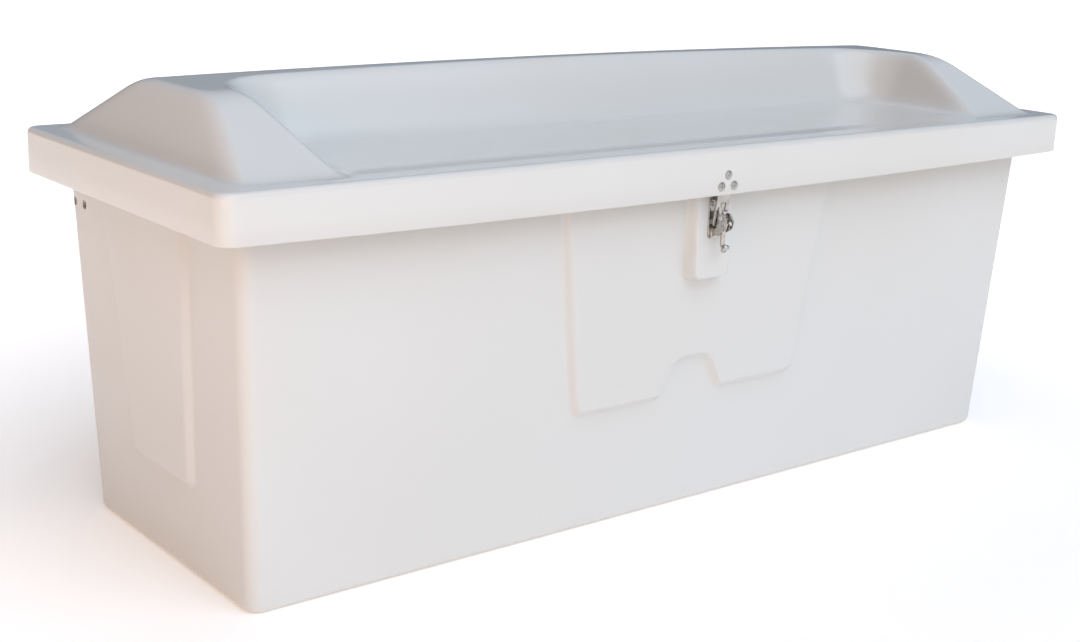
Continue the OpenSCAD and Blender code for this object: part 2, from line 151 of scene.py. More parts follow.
def tidy(obj, sharp=35.0):
    """Welds, orients and smooths a mesh."""
    work = bmesh.new()
    work.from_mesh(obj.data)
    bmesh.ops.remove_doubles(work, verts=work.verts, dist=1e-6)
    bmesh.ops.recalc_face_normals(work, faces=work.faces)
    limit = math.radians(sharp)
    for face in work.faces:
        face.smooth = True
    for edge in work.edges:
        edge.smooth = len(edge.link_faces) == 2 and edge.calc_face_angle(0.0) < limit
    work.to_mesh(obj.data)
    work.free()
    obj.data.update()


def place(obj, body, slot, *replaced):
    """Rides obj on a body and hides the CAD parts that it stands for; slot is not used."""
    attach(obj, body)
    if replaced:
        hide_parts(*replaced)
    return obj


def loft(loops):
    """Quads between closed loops that all have the same number of points."""
    count = len(loops[0])
    if any(len(loop) != count for loop in loops):
        raise ValueError("the loops differ in length")
    verts = np.concatenate(loops)
    faces = []
    for k in range(len(loops) - 1):
        for i in range(count):
            j = (i + 1) % count
            faces.append((k * count + i, k * count + j, (k + 1) * count + j, (k + 1) * count + i))
    return verts, faces


def lathe(profile, steps=40):
    """Verts and faces of a profile of (radius, height) pairs turned about Z; a zero radius closes the end."""
    verts = []
    rings = []
    for radius, height in profile:
        if radius < 1e-9:
            rings.append([len(verts)])
            verts.append((0.0, 0.0, height))
            continue
        start = len(verts)
        for i in range(steps):
            angle = 2 * math.pi * i / steps
            verts.append((radius * math.cos(angle), radius * math.sin(angle), height))
        rings.append(list(range(start, start + steps)))
    faces = []
    for low, high in zip(rings, rings[1:]):
        for i in range(steps):
            j = (i + 1) % steps
            if len(low) == 1:
                faces.append((low[0], high[j], high[i]))
            elif len(high) == 1:
                faces.append((low[i], low[j], high[0]))
            else:
                faces.append((low[i], low[j], high[j], high[i]))
    return verts, faces


def filleted(corners, steps=8):
    """A closed outline from (x, y, radius) corners, each rounded with an arc."""
    points = []
    total = len(corners)
    for i, (x, y, radius) in enumerate(corners):
        here = Vector((x, y))
        back = Vector(corners[i - 1][:2]) - here
        ahead = Vector(corners[(i + 1) % total][:2]) - here
        half = back.angle(ahead) / 2
        if radius < 1e-9 or half > math.radians(89.5):
            points.append((x, y))
            continue
        reach = min(radius / math.tan(half), 0.49 * back.length, 0.49 * ahead.length)
        radius = reach * math.tan(half)
        start = here + back.normalized() * reach
        end = here + ahead.normalized() * reach
        middle = here + (back.normalized() + ahead.normalized()).normalized() * (radius / math.sin(half))
        first = start - middle
        turn = first.angle_signed(end - middle)
        for k in range(steps + 1):
            angle = -turn * k / steps
            spun = Matrix.Rotation(angle, 2) @ first
            points.append(tuple(middle + spun))
    return points


def inside_distance(x, y, outline):
    """Distance of points from a closed outline, positive inside and negative outside."""
    ring = np.array(outline)
    following = np.roll(ring, -1, axis=0)
    px = x[..., None]
    py = y[..., None]
    dx = following[:, 0] - ring[:, 0]
    dy = following[:, 1] - ring[:, 1]
    length = np.maximum(dx * dx + dy * dy, 1e-18)
    t = np.clip(((px - ring[:, 0]) * dx + (py - ring[:, 1]) * dy) / length, 0, 1)
    near = np.hypot(px - ring[:, 0] - t * dx, py - ring[:, 1] - t * dy).min(axis=-1)
    above = ring[:, 1] > py
    crosses = above != (following[:, 1] > py)
    safe = np.where(np.abs(dy) < 1e-12, 1e-12, dy)
    hit = crosses & (px < dx * (py - ring[:, 1]) / safe + ring[:, 0])
    inside = hit.sum(axis=-1) % 2 == 1
    return np.where(inside, near, -near)


def ease(t):
    """Smooth step from 0 to 1 over t from 0 to 1."""
    t = np.clip(t, 0, 1)
    return t * t * (3 - 2 * t)


def soft_min(a, b, k):
    """The lower of two heights, blended where they differ by less than k."""
    h = np.maximum(k - np.abs(a - b), 0) / k
    return np.minimum(a, b) - h * h * k / 4


def soft_max(a, b, k):
    """The higher of two heights, blended where they differ by less than k."""
    return -soft_min(-a, -b, k)


def stamped(name, outlines, thickness, edge, matrix, material, resolution=2):
    """A flat stamped plate with rounded edges: 2-D outlines, holes among them, set in space by matrix."""
    curve = bpy.data.curves.new(name, "CURVE")
    curve.dimensions = "2D"
    curve.fill_mode = "BOTH"
    curve.extrude = thickness / 2 - edge
    curve.bevel_depth = edge
    curve.bevel_resolution = resolution
    curve.offset = -edge
    for outline in outlines:
        spline = curve.splines.new("POLY")
        spline.points.add(len(outline) - 1)
        for point, (x, y) in zip(spline.points, outline):
            point.co = (x, y, 0, 1)
        spline.use_cyclic_u = True
    holder = bpy.data.objects.new(name + "_curve", curve)
    bpy.context.scene.collection.objects.link(holder)
    graph = bpy.context.evaluated_depsgraph_get()
    mesh = bpy.data.meshes.new_from_object(holder.evaluated_get(graph))
    bpy.data.objects.remove(holder)
    bpy.data.curves.remove(curve)
    mesh.materials.clear()
    mesh.materials.append(material)
    mesh.transform(matrix)
    obj = bpy.data.objects.new(name, mesh)
    bpy.context.scene.collection.objects.link(obj)
    tidy(obj, 40.0)
    return obj


def circle_outline(x, y, radius, steps=28):
    """A round hole or disc as an outline."""
    return [(x + radius * math.cos(2 * math.pi * i / steps), y + radius * math.sin(2 * math.pi * i / steps))
            for i in range(steps)]


def joined(name, objects):
    """Joins mesh objects into one named object."""
    bpy.ops.object.select_all(action="DESELECT")
    for obj in objects:
        obj.select_set(True)
    bpy.context.view_layer.objects.active = objects[0]
    bpy.ops.object.join()
    result = bpy.context.view_layer.objects.active
    result.name = name
    result.data.name = name
    return result


def carved(obj, cutter, operation="DIFFERENCE", sharp=35.0):
    """Applies an exact boolean with cutter, and removes the cutter."""
    modifier = obj.modifiers.new("carve", "BOOLEAN")
    modifier.operation = operation
    modifier.object = cutter
    modifier.solver = "EXACT"
    graph = bpy.context.evaluated_depsgraph_get()
    mesh = bpy.data.meshes.new_from_object(obj.evaluated_get(graph))
    obj.modifiers.clear()
    obj.data = mesh
    bpy.data.objects.remove(cutter)
    tidy(obj, sharp)
    return obj


def turned(name, profile, matrix, material, steps=40, sharp=35.0):
    """A lathe-turned solid as an object."""
    verts, faces = lathe(profile, steps)
    verts = [matrix @ Vector(v) for v in verts]
    return make_object(name, verts, faces, [material], sharp=sharp)


# ---------------------------------------------------------------------------
# Materials
# ---------------------------------------------------------------------------

def node_in(tree, kind, settings=None, links=None):
    """Adds a node, sets its properties and input values, and links its inputs."""
    node = tree.nodes.new(kind)
    for key, value in (settings or {}).items():
        if hasattr(node, key) and key not in node.inputs:
            setattr(node, key, value)
        else:
            node.inputs[key].default_value = value
    for key, source in (links or {}).items():
        tree.links.new(source, node.inputs[key])
    return node


def start_material(name):
    """An empty node material with its Principled shader, and where patterns take their place from."""
    material = bpy.data.materials.get(name)
    if material is not None:
        return material, None, None, None
    material = bpy.data.materials.new(name)
    material.use_nodes = True
    tree = material.node_tree
    shader = tree.nodes["Principled BSDF"]
    place_in = node_in(tree, "ShaderNodeTexCoord").outputs["Object"]
    return material, tree, shader, place_in


def per_size(millimetres):
    """The texture scale at which one feature measures that many millimetres."""
    return 1.0 / (millimetres * MM)


def rgba(colour):
    """A colour property with full alpha."""
    return (colour[0], colour[1], colour[2], 1.0)


def gelcoat_material(colours, name, roughness, spread):
    """White polyester gelcoat off a waxed mould: soft waves under a fine orange peel, duller in clouds."""
    material, tree, shader, spot = start_material(name)
    if tree is None:
        return material
    patches = node_in(tree, "ShaderNodeTexNoise", {"Scale": per_size(420), "Detail": 2.0, "Roughness": 0.4},
                      {"Vector": spot})
    tone = node_in(tree, "ShaderNodeValToRGB", {}, {"Fac": patches.outputs["Fac"]})
    tone.color_ramp.elements[0].position = 0.3
    tone.color_ramp.elements[0].color = rgba(colours.gelcoat_warm)
    tone.color_ramp.elements[1].position = 0.7
    tone.color_ramp.elements[1].color = rgba(colours.gelcoat)
    tree.links.new(tone.outputs["Color"], shader.inputs["Base Color"])
    # the gloss drops a little in clouds some 160 mm across
    clouds = node_in(tree, "ShaderNodeTexNoise", {"Scale": per_size(160), "Detail": 3.0}, {"Vector": spot})
    gloss = node_in(tree, "ShaderNodeMapRange",
                    {"From Min": 0.3, "From Max": 0.7, "To Min": roughness - spread,
                     "To Max": roughness + spread},
                    {"Value": clouds.outputs["Fac"]})
    tree.links.new(gloss.outputs["Result"], shader.inputs["Roughness"])
    # waves left by the laminate, 120 mm long, under an orange peel of 2.5 mm
    waves = node_in(tree, "ShaderNodeTexNoise", {"Scale": per_size(120), "Detail": 0.0}, {"Vector": spot})
    peel = node_in(tree, "ShaderNodeTexNoise", {"Scale": per_size(2.5), "Detail": 1.0}, {"Vector": spot})
    low = node_in(tree, "ShaderNodeBump", {"Strength": 0.4, "Distance": 0.8 * MM},
                  {"Height": waves.outputs["Fac"]})
    fine = node_in(tree, "ShaderNodeBump", {"Strength": 0.1, "Distance": 0.02 * MM},
                   {"Height": peel.outputs["Fac"], "Normal": low.outputs["Normal"]})
    tree.links.new(fine.outputs["Normal"], shader.inputs["Normal"])
    shader.inputs["IOR"].default_value = 1.5
    return material


def laminate_material(colours):
    """Inside of a hand-laid laminate: chopped strands, wetted out and brushed over with flow coat."""
    material, tree, shader, spot = start_material("flow_coated_chopped_strand_laminate")
    if tree is None:
        return material
    stretch = node_in(tree, "ShaderNodeMapping", {"Scale": (1.0, 3.2, 1.0), "Rotation": (0.0, 0.0, 0.6)},
                      {"Vector": spot})
    strands = node_in(tree, "ShaderNodeTexVoronoi",
                      {"feature": "DISTANCE_TO_EDGE", "Scale": per_size(26), "Randomness": 1.0},
                      {"Vector": stretch.outputs["Vector"]})
    cloud = node_in(tree, "ShaderNodeTexNoise", {"Scale": per_size(14), "Detail": 6.0, "Distortion": 1.2},
                    {"Vector": spot})
    blend = node_in(tree, "ShaderNodeMath", {"operation": "MULTIPLY"})
    tree.links.new(strands.outputs["Distance"], blend.inputs[0])
    tree.links.new(cloud.outputs["Fac"], blend.inputs[1])
    tone = node_in(tree, "ShaderNodeValToRGB", {}, {"Fac": cloud.outputs["Fac"]})
    tone.color_ramp.elements[0].position = 0.3
    tone.color_ramp.elements[0].color = rgba([c * 0.82 for c in colours.laminate])
    tone.color_ramp.elements[1].position = 0.7
    tone.color_ramp.elements[1].color = rgba(colours.laminate)
    tree.links.new(tone.outputs["Color"], shader.inputs["Base Color"])
    bump = node_in(tree, "ShaderNodeBump", {"Strength": 0.7, "Distance": 0.7 * MM},
                   {"Height": blend.outputs[0]})
    tree.links.new(bump.outputs["Normal"], shader.inputs["Normal"])
    rough = node_in(tree, "ShaderNodeMapRange", {"To Min": 0.38, "To Max": 0.62},
                    {"Value": cloud.outputs["Fac"]})
    tree.links.new(rough.outputs["Result"], shader.inputs["Roughness"])
    shader.inputs["IOR"].default_value = 1.5
    return material


def stainless_material(colours, name="stamped_polished_stainless", roughness=0.2):
    """Stamped stainless steel, mop polished: fine scratches one way that stretch the highlights a little."""
    material, tree, shader, spot = start_material(name)
    if tree is None:
        return material
    grain = node_in(tree, "ShaderNodeMapping", {"Scale": (6.0, 6.0, 0.5)}, {"Vector": spot})
    # real polishing scratches are far under 0.1 mm; drawn 0.8 mm apart so that they show
    scratches = node_in(tree, "ShaderNodeTexNoise", {"Scale": per_size(5), "Detail": 6.0},
                        {"Vector": grain.outputs["Vector"]})
    smears = node_in(tree, "ShaderNodeTexNoise", {"Scale": per_size(9), "Detail": 3.0}, {"Vector": spot})
    tone = node_in(tree, "ShaderNodeValToRGB", {}, {"Fac": smears.outputs["Fac"]})
    tone.color_ramp.elements[0].position = 0.25
    tone.color_ramp.elements[0].color = rgba([c * 0.72 for c in colours.stainless])
    tone.color_ramp.elements[1].position = 0.65
    tone.color_ramp.elements[1].color = rgba(colours.stainless)
    tree.links.new(tone.outputs["Color"], shader.inputs["Base Color"])
    gloss = node_in(tree, "ShaderNodeMapRange",
                    {"From Min": 0.3, "From Max": 0.7, "To Min": roughness - 0.06,
                     "To Max": roughness + 0.12},
                    {"Value": scratches.outputs["Fac"]})
    tree.links.new(gloss.outputs["Result"], shader.inputs["Roughness"])
    bump = node_in(tree, "ShaderNodeBump", {"Strength": 0.2, "Distance": 0.03 * MM},
                   {"Height": scratches.outputs["Fac"]})
    tree.links.new(bump.outputs["Normal"], shader.inputs["Normal"])
    shader.inputs["Metallic"].default_value = 1.0
    return material


def rod_material(colours):
    """Ground and plated steel rod: bright, with grinding rings across its length."""
    material, tree, shader, spot = start_material("ground_plated_rod")
    if tree is None:
        return material
    rings = node_in(tree, "ShaderNodeTexNoise", {"Scale": per_size(2), "Detail": 4.0}, {"Vector": spot})
    gloss = node_in(tree, "ShaderNodeMapRange", {"To Min": 0.06, "To Max": 0.2},
                    {"Value": rings.outputs["Fac"]})
    tree.links.new(gloss.outputs["Result"], shader.inputs["Roughness"])
    shader.inputs["Base Color"].default_value = rgba(colours.rod)
    shader.inputs["Metallic"].default_value = 1.0
    return material


def paint_material(colours):
    """Baked black enamel on a drawn steel tube: satin, with a faint pebble."""
    material, tree, shader, spot = start_material("baked_black_enamel")
    if tree is None:
        return material
    pebble = node_in(tree, "ShaderNodeTexNoise", {"Scale": per_size(1.6), "Detail": 3.0}, {"Vector": spot})
    bump = node_in(tree, "ShaderNodeBump", {"Strength": 0.3, "Distance": 0.04 * MM},
                   {"Height": pebble.outputs["Fac"]})
    tree.links.new(bump.outputs["Normal"], shader.inputs["Normal"])
    gloss = node_in(tree, "ShaderNodeMapRange", {"To Min": 0.28, "To Max": 0.45},
                    {"Value": pebble.outputs["Fac"]})
    tree.links.new(gloss.outputs["Result"], shader.inputs["Roughness"])
    shader.inputs["Base Color"].default_value = rgba(colours.paint)
    return material


def rubber_material(colours):
    """Extruded EPDM sponge: dull skin with a dusty bloom and fine pores."""
    material, tree, shader, spot = start_material("extruded_epdm_sponge")
    if tree is None:
        return material
    bloom = node_in(tree, "ShaderNodeTexNoise", {"Scale": per_size(30), "Detail": 5.0}, {"Vector": spot})
    tone = node_in(tree, "ShaderNodeValToRGB", {}, {"Fac": bloom.outputs["Fac"]})
    tone.color_ramp.elements[0].color = rgba(colours.rubber)
    tone.color_ramp.elements[1].color = rgba([c * 1.9 + 0.01 for c in colours.rubber])
    tree.links.new(tone.outputs["Color"], shader.inputs["Base Color"])
    pores = node_in(tree, "ShaderNodeTexNoise", {"Scale": per_size(0.9), "Detail": 2.0}, {"Vector": spot})
    bump = node_in(tree, "ShaderNodeBump", {"Strength": 0.4, "Distance": 0.1 * MM},
                   {"Height": pores.outputs["Fac"]})
    tree.links.new(bump.outputs["Normal"], shader.inputs["Normal"])
    shader.inputs["Roughness"].default_value = 0.72
    return material


def core_material(colours):
    """End-grain balsa sealed with resin: small blocks with dark glue lines and speckled ends."""
    material, tree, shader, spot = start_material("resin_sealed_end_grain_balsa")
    if tree is None:
        return material
    blocks = node_in(tree, "ShaderNodeTexBrick",
                     {"Scale": 1.0, "Mortar Size": 0.8 * MM, "Brick Width": 50 * MM, "Row Height": 25 * MM,
                      "Color1": rgba(colours.balsa), "Color2": rgba([c * 0.8 for c in colours.balsa]),
                      "Mortar": rgba([c * 0.35 for c in colours.balsa])},
                     {"Vector": spot})
    grain = node_in(tree, "ShaderNodeTexNoise", {"Scale": per_size(1.5), "Detail": 4.0}, {"Vector": spot})
    tree.links.new(blocks.outputs["Color"], shader.inputs["Base Color"])
    bump = node_in(tree, "ShaderNodeBump", {"Strength": 0.3, "Distance": 0.1 * MM},
                   {"Height": grain.outputs["Fac"]})
    tree.links.new(bump.outputs["Normal"], shader.inputs["Normal"])
    gloss = node_in(tree, "ShaderNodeMapRange", {"To Min": 0.3, "To Max": 0.5},
                    {"Value": grain.outputs["Fac"]})
    tree.links.new(gloss.outputs["Result"], shader.inputs["Roughness"])
    return material


def floor_material(colours):
    """Matt painted studio floor, faintly rolled."""
    material, tree, shader, spot = start_material("rolled_matt_floor_paint")
    if tree is None:
        return material
    roll = node_in(tree, "ShaderNodeTexNoise", {"Scale": per_size(40), "Detail": 3.0}, {"Vector": spot})
    gloss = node_in(tree, "ShaderNodeMapRange", {"To Min": 0.8, "To Max": 0.95},
                    {"Value": roll.outputs["Fac"]})
    tree.links.new(gloss.outputs["Result"], shader.inputs["Roughness"])
    shader.inputs["Base Color"].default_value = rgba(colours.floor)
    shader.inputs["Specular IOR Level"].default_value = 0.05
    shader.inputs["Emission Color"].default_value = rgba(colours.floor_glow)
    # the glow grows away from the box, so that the far floor stays as pale as the floor under the lights
    away = node_in(tree, "ShaderNodeVectorMath", {"operation": "LENGTH"}, {"Vector": spot})
    glow = node_in(tree, "ShaderNodeMapRange",
                   {"interpolation_type": "SMOOTHSTEP", "From Min": 0.7, "From Max": 2.2, "To Min": 0.26,
                    "To Max": 0.62}, {"Value": away.outputs["Value"]})
    tree.links.new(glow.outputs["Result"], shader.inputs["Emission Strength"])
    return material


# ---------------------------------------------------------------------------
# Tub
# ---------------------------------------------------------------------------

# distances from a feature line at which the surface is sampled, so that its soft edge is drawn evenly
NEAR_LINE = [-13 * MM, -9 * MM, -6 * MM, -3.5 * MM, -1.5 * MM, 0.0, 2 * MM, 4 * MM, 6 * MM, 8 * MM, 10.5 * MM,
             13 * MM, 17 * MM]


# feet of the raised panels: heights of their corners, and half widths or places along the wall there
OUTLINE_TOP = 700 * MM
PANEL_LOW = 204 * MM
PANEL_LOW_HALF = 259 * MM
PANEL_LEAN = 56 / 422
NOTCH_TOP = 268 * MM
NOTCH_LOW_HALF = 66 * MM
NOTCH_TOP_HALF = 31 * MM
PAD_LOW = 413 * MM
PAD_LOW_HALF = 43 * MM
PAD_TOP_HALF = 52 * MM
PAD_FACE = 319 * MM
END_LOW = 150 * MM
END_BEND = 462 * MM
END_SHOULDER = 505 * MM
END_FRONT_LOW = -112 * MM
END_FRONT_TOP = -142 * MM
END_REAR_LOW = 93 * MM
END_REAR_BEND = 134 * MM
END_REAR_SHOULDER = 147 * MM
END_REAR_TOP = 138 * MM
FLANGE_UNDER = 623 * MM
VENT_PLACES = (228 * MM, 265 * MM)
VENT_HEIGHT = 527 * MM


def mixed(at, start, end, value_start, value_end):
    """A value that changes evenly from one place to another, and goes on past both."""
    return value_start + (value_end - value_start) * (at - start) / (end - start)


def panel_half(z):
    """Half width of the foot of the front panel at height z."""
    return PANEL_LOW_HALF + PANEL_LEAN * (z - PANEL_LOW)


def front_panel_outline():
    """Foot of the raised front panel, as (x, z): a trapezoid with a notch in its lower edge."""
    half_high = panel_half(OUTLINE_TOP)
    right = [(NOTCH_TOP_HALF, NOTCH_TOP, 22 * MM), (NOTCH_LOW_HALF, PANEL_LOW, 12 * MM),
             (PANEL_LOW_HALF, PANEL_LOW, 24 * MM), (half_high, OUTLINE_TOP, 0)]
    left = [(-x, z, radius) for x, z, radius in reversed(right)]
    return filleted(left + right)


def pad_half(z):
    """Half width of the foot of the latch pad, with the notch of the panel further down."""
    if z < PANEL_LOW:
        return NOTCH_LOW_HALF
    if z < NOTCH_TOP:
        return mixed(z, PANEL_LOW, NOTCH_TOP, NOTCH_LOW_HALF, NOTCH_TOP_HALF)
    if z < PAD_LOW + 1 * MM:
        return mixed(z, NOTCH_TOP, PAD_LOW + 1 * MM, NOTCH_TOP_HALF, PAD_LOW_HALF)
    return mixed(z, PAD_LOW + 1 * MM, FLANGE_UNDER, PAD_LOW_HALF, PAD_TOP_HALF)


def pad_outline():
    """Foot of the latch pad, as (x, z): it runs up under the lid and flares a little on the way."""
    right = [(PAD_LOW_HALF, PAD_LOW, 17 * MM), (pad_half(OUTLINE_TOP), OUTLINE_TOP, 0)]
    left = [(-x, z, radius) for x, z, radius in reversed(right)]
    return filleted(left + right)


def end_panel_front(z):
    """Front edge of an end panel at height z."""
    return mixed(z, END_LOW, FLANGE_UNDER, END_FRONT_LOW, END_FRONT_TOP)


def end_panel_rear(z):
    """Rear edge of an end panel at height z."""
    if z < END_BEND:
        return mixed(z, END_LOW, END_BEND, END_REAR_LOW, END_REAR_BEND)
    if z < END_SHOULDER:
        return mixed(z, END_BEND, END_SHOULDER, END_REAR_BEND, END_REAR_SHOULDER)
    return mixed(z, END_SHOULDER, FLANGE_UNDER, END_REAR_SHOULDER, END_REAR_TOP)


def end_panel_outline():
    """Foot of the raised end panel, as (y, z)."""
    return filleted([
        (end_panel_front(OUTLINE_TOP), OUTLINE_TOP, 0), (END_FRONT_LOW, END_LOW, 20 * MM),
        (END_REAR_LOW, END_LOW, 20 * MM), (END_REAR_BEND, END_BEND, 90 * MM),
        (END_REAR_SHOULDER, END_SHOULDER, 24 * MM), (end_panel_rear(OUTLINE_TOP), OUTLINE_TOP, 0)])


def between(start, end, gaps):
    """Fractions strictly between two places, cutting the way into a fixed number of even gaps."""
    return [start + (end - start) * i / gaps for i in range(1, gaps)]


def side_columns(lines, half_low, half_high, gaps):
    """Sample places along a wall: dense across each feature line, even in between, ends left out.

    Every loop of a wall gets the same number of places, so that the columns run on from row to row."""
    places = []
    previous = half_low
    for line, count in zip(lines, gaps):
        outward = 1.0 if line > 0 else -1.0
        dense = sorted(line - outward * d for d in NEAR_LINE)
        places += between(previous, dense[0], count)
        places += dense
        previous = dense[-1]
    places += between(previous, half_high, gaps[-1])
    return places


FRONT, RIGHT, REAR, LEFT, CORNER = range(5)


def tub_loop(half_x, y_front, y_rear, corner, detail_z, corner_steps=8):
    """One closed loop of the tub: x, y, outward normals and the side each point is on."""
    x_flat = half_x - corner
    inner = pad_half(detail_z)
    outer = panel_half(detail_z)
    front = side_columns([-outer, -inner, inner, outer], -x_flat, x_flat, (12, 7, 3, 7, 12))
    ends = side_columns([end_panel_front(detail_z), end_panel_rear(detail_z)],
                        y_front + corner, y_rear - corner, (5, 12, 5))
    rear = between(-x_flat, x_flat, 34)
    xs, ys, nx, ny, side = [], [], [], [], []

    def add(x, y, a, b, s):
        xs.append(x)
        ys.append(y)
        nx.append(a)
        ny.append(b)
        side.append(s)

    def turn(cx, cy, start):
        for k in range(corner_steps + 1):
            angle = math.radians(start + 90.0 * k / corner_steps)
            a, b = math.cos(angle), math.sin(angle)
            add(cx + corner * a, cy + corner * b, a, b, CORNER)

    for x in front:
        add(x, y_front, 0.0, -1.0, FRONT)
    turn(x_flat, y_front + corner, -90)
    for y in ends:
        add(half_x, y, 1.0, 0.0, RIGHT)
    turn(x_flat, y_rear - corner, 0)
    for x in reversed(rear):
        add(x, y_rear, 0.0, 1.0, REAR)
    turn(-x_flat, y_rear - corner, 90)
    for y in reversed(ends):
        add(-half_x, y, -1.0, 0.0, LEFT)
    turn(-x_flat, y_front + corner, 180)
    return (np.array(xs), np.array(ys), np.array(nx), np.array(ny), np.array(side))


def tub_rows(top):
    """Heights at which the walls are sampled: dense across each horizontal edge of the panels."""
    rows = []
    previous = 14 * MM
    for line in (END_LOW, PANEL_LOW, NOTCH_TOP, PAD_LOW):
        dense = sorted(line + d for d in NEAR_LINE)
        gaps = max(int(math.ceil((dense[0] - previous) / (26 * MM))), 1)
        rows += between(previous, dense[0], gaps)
        rows += [z for z in dense if z > previous]
        previous = dense[-1]
    return rows + between(previous, top, 12) + [top]


def tub_raise(sizes, x, y, z, side, outlines):
    """How far the moulded panels stand out from the plain wall at each point of a loop."""
    out = np.zeros_like(x)
    height = np.full_like(x, z)
    front = side == FRONT
    wall_y = -(sizes.base_depth / 2 + sizes.draft * z)
    panel = sizes.panel_raise * ease(inside_distance(x, height, outlines["panel"]) / (12 * MM))
    # the pad's sides get less steep towards the rim
    pad_run = mixed(max(z, PAD_LOW), PAD_LOW, FLANGE_UNDER, 6 * MM, 15 * MM)
    pad_share = ease(inside_distance(x, height, outlines["pad"]) / pad_run)
    total = panel * (1 - pad_share) + (PAD_FACE + wall_y) * pad_share
    out[front] = total[front]
    ends = (side == RIGHT) | (side == LEFT)
    end = sizes.end_raise * ease(inside_distance(y, height, outlines["end"]) / (15 * MM))
    out[ends] = end[ends]
    return out


def tub_mesh(sizes):
    """Loops of the whole tub shell, from its foot over the rim to its inside, and where the inside starts."""
    outlines = {"panel": front_panel_outline(), "pad": pad_outline(), "end": end_panel_outline()}
    half_l = sizes.base_length / 2
    half_d = sizes.base_depth / 2
    rim = sizes.rim_height
    wall = sizes.laminate
    under = rim - wall
    loops = []

    def wall_loop(z, inset, normal_shift, raise_share=1.0, level=None):
        """A loop of the drafted wall; inset shrinks the foot, normal_shift moves points outwards."""
        grow = sizes.draft * z
        x, y, nx, ny, side = tub_loop(half_l + grow - inset, -half_d - grow + inset,
                                      half_d + grow - inset, sizes.tub_corner - min(inset, 9 * MM), z)
        lift = tub_raise(sizes, x, y, z, side, outlines) * raise_share + normal_shift
        height = np.full_like(x, z if level is None else level)
        return np.stack([x + nx * lift, y + ny * lift, height], axis=1)

    foot = sizes.foot_radius
    for angle in (90, 72, 54, 36, 18):
        turn = math.radians(angle)
        loops.append(wall_loop(foot * (1 - math.sin(turn)), foot * (1 - math.cos(turn)), 0.0, 0.0))
    loops.append(wall_loop(foot, 0.0, 0.0))
    rows = tub_rows(under)
    for z in rows:
        loops.append(wall_loop(z, 0.0, 0.0))

    # rim: out under the flange, down inside the lip, round its edge, up and over
    def rim_loop(shrink, depth_front, depth_rear):
        x, y, _, _, side = tub_loop(TUB_HIGH.x - shrink, TUB_LOW.y + shrink, TUB_HIGH.y - shrink,
                                    40 * MM - shrink, under)
        hinge_side = (side == REAR) & (np.abs(x) < HINGE_HIGH.x + 6 * MM)
        height = np.where(hinge_side, depth_rear, depth_front)
        return np.stack([x, y, height], axis=1)

    lip = under - 18 * MM
    rear_lip = sizes.skirt_low
    edge = 1.6 * MM
    loops.append(rim_loop(wall + 2 * MM, under, under))
    loops.append(rim_loop(wall, under - 2 * MM, under - 2 * MM))
    loops.append(rim_loop(wall, lip + edge, rear_lip + edge))
    loops.append(rim_loop(wall - edge, lip, rear_lip))
    loops.append(rim_loop(edge, lip, rear_lip))
    loops.append(rim_loop(0.0, lip + edge, rear_lip + edge))
    loops.append(rim_loop(0.0, rim - 4 * MM, rim - 4 * MM))
    loops.append(rim_loop(1.2 * MM, rim - 1.2 * MM, rim - 1.2 * MM))
    loops.append(rim_loop(4 * MM, rim, rim))
    inner_start = len(loops)
    loops.append(wall_loop(under, 0.0, -wall + 3 * MM, 0.0, rim))
    loops.append(wall_loop(under, 0.0, -wall + 0.9 * MM, 0.0, rim - 0.9 * MM))
    loops.append(wall_loop(under, 0.0, -wall, 0.0, rim - 3 * MM))
    # the recesses behind the panels start just under the rim
    for z in reversed(rows[:-1]):
        loops.append(wall_loop(z, 0.0, -wall, ease((under - z) / (14 * MM))))
    inner_foot = foot + 6 * MM
    for angle in (0, 18, 36, 54, 72, 90):
        turn = math.radians(angle)
        height = wall + inner_foot * (1 - math.sin(turn))
        loops.append(wall_loop(height, wall + inner_foot * (1 - math.cos(turn)), 0.0, 0.0))
    return loops, inner_start


def build_tub(context):
    """The tub shell with gelcoat outside and bare laminate inside."""
    sizes = context.scene.dock_box_sizes
    colours = context.scene.dock_box_colours
    loops, inner_start = tub_mesh(sizes)
    verts, faces = loft(loops)
    count = len(loops[0])
    slots = [0 if index // count < inner_start else 1 for index in range(len(faces))]
    faces.append(tuple(reversed(range(count))))
    faces.append(tuple(range((len(loops) - 1) * count, len(loops) * count)))
    slots += [0, 1]
    obj = make_object("moulded_tub", verts, faces,
                      [gelcoat_material(colours, "moulded_gelcoat_satin", 0.36, 0.03),
                       laminate_material(colours)], slots)
    reach = 40 * MM
    radius = 7.5 * MM
    profile = [(0, -reach), (radius, -reach), (radius, reach), (0, reach)]
    cutters = []
    for side in (-1, 1):
        for y in VENT_PLACES:
            spin = Matrix.Translation((side * (sizes.base_length / 2 + 20 * MM), y, VENT_HEIGHT))
            spin = spin @ Matrix.Rotation(math.radians(90), 4, "Y")
            cutters.append(turned("vent_cutter", profile, spin, obj.data.materials[0], 36))
    return carved(obj, joined("vent_cutters", cutters))


# ---------------------------------------------------------------------------
# Lid
# ---------------------------------------------------------------------------

def graded(stops):
    """Sample places from (place, step up to it) pairs."""
    places = [stops[0][0]]
    for place_to, step in stops[1:]:
        gaps = max(int(math.ceil((place_to - places[-1]) / step - 1e-6)), 1)
        places += between(places[-1], place_to, gaps) + [place_to]
    return places


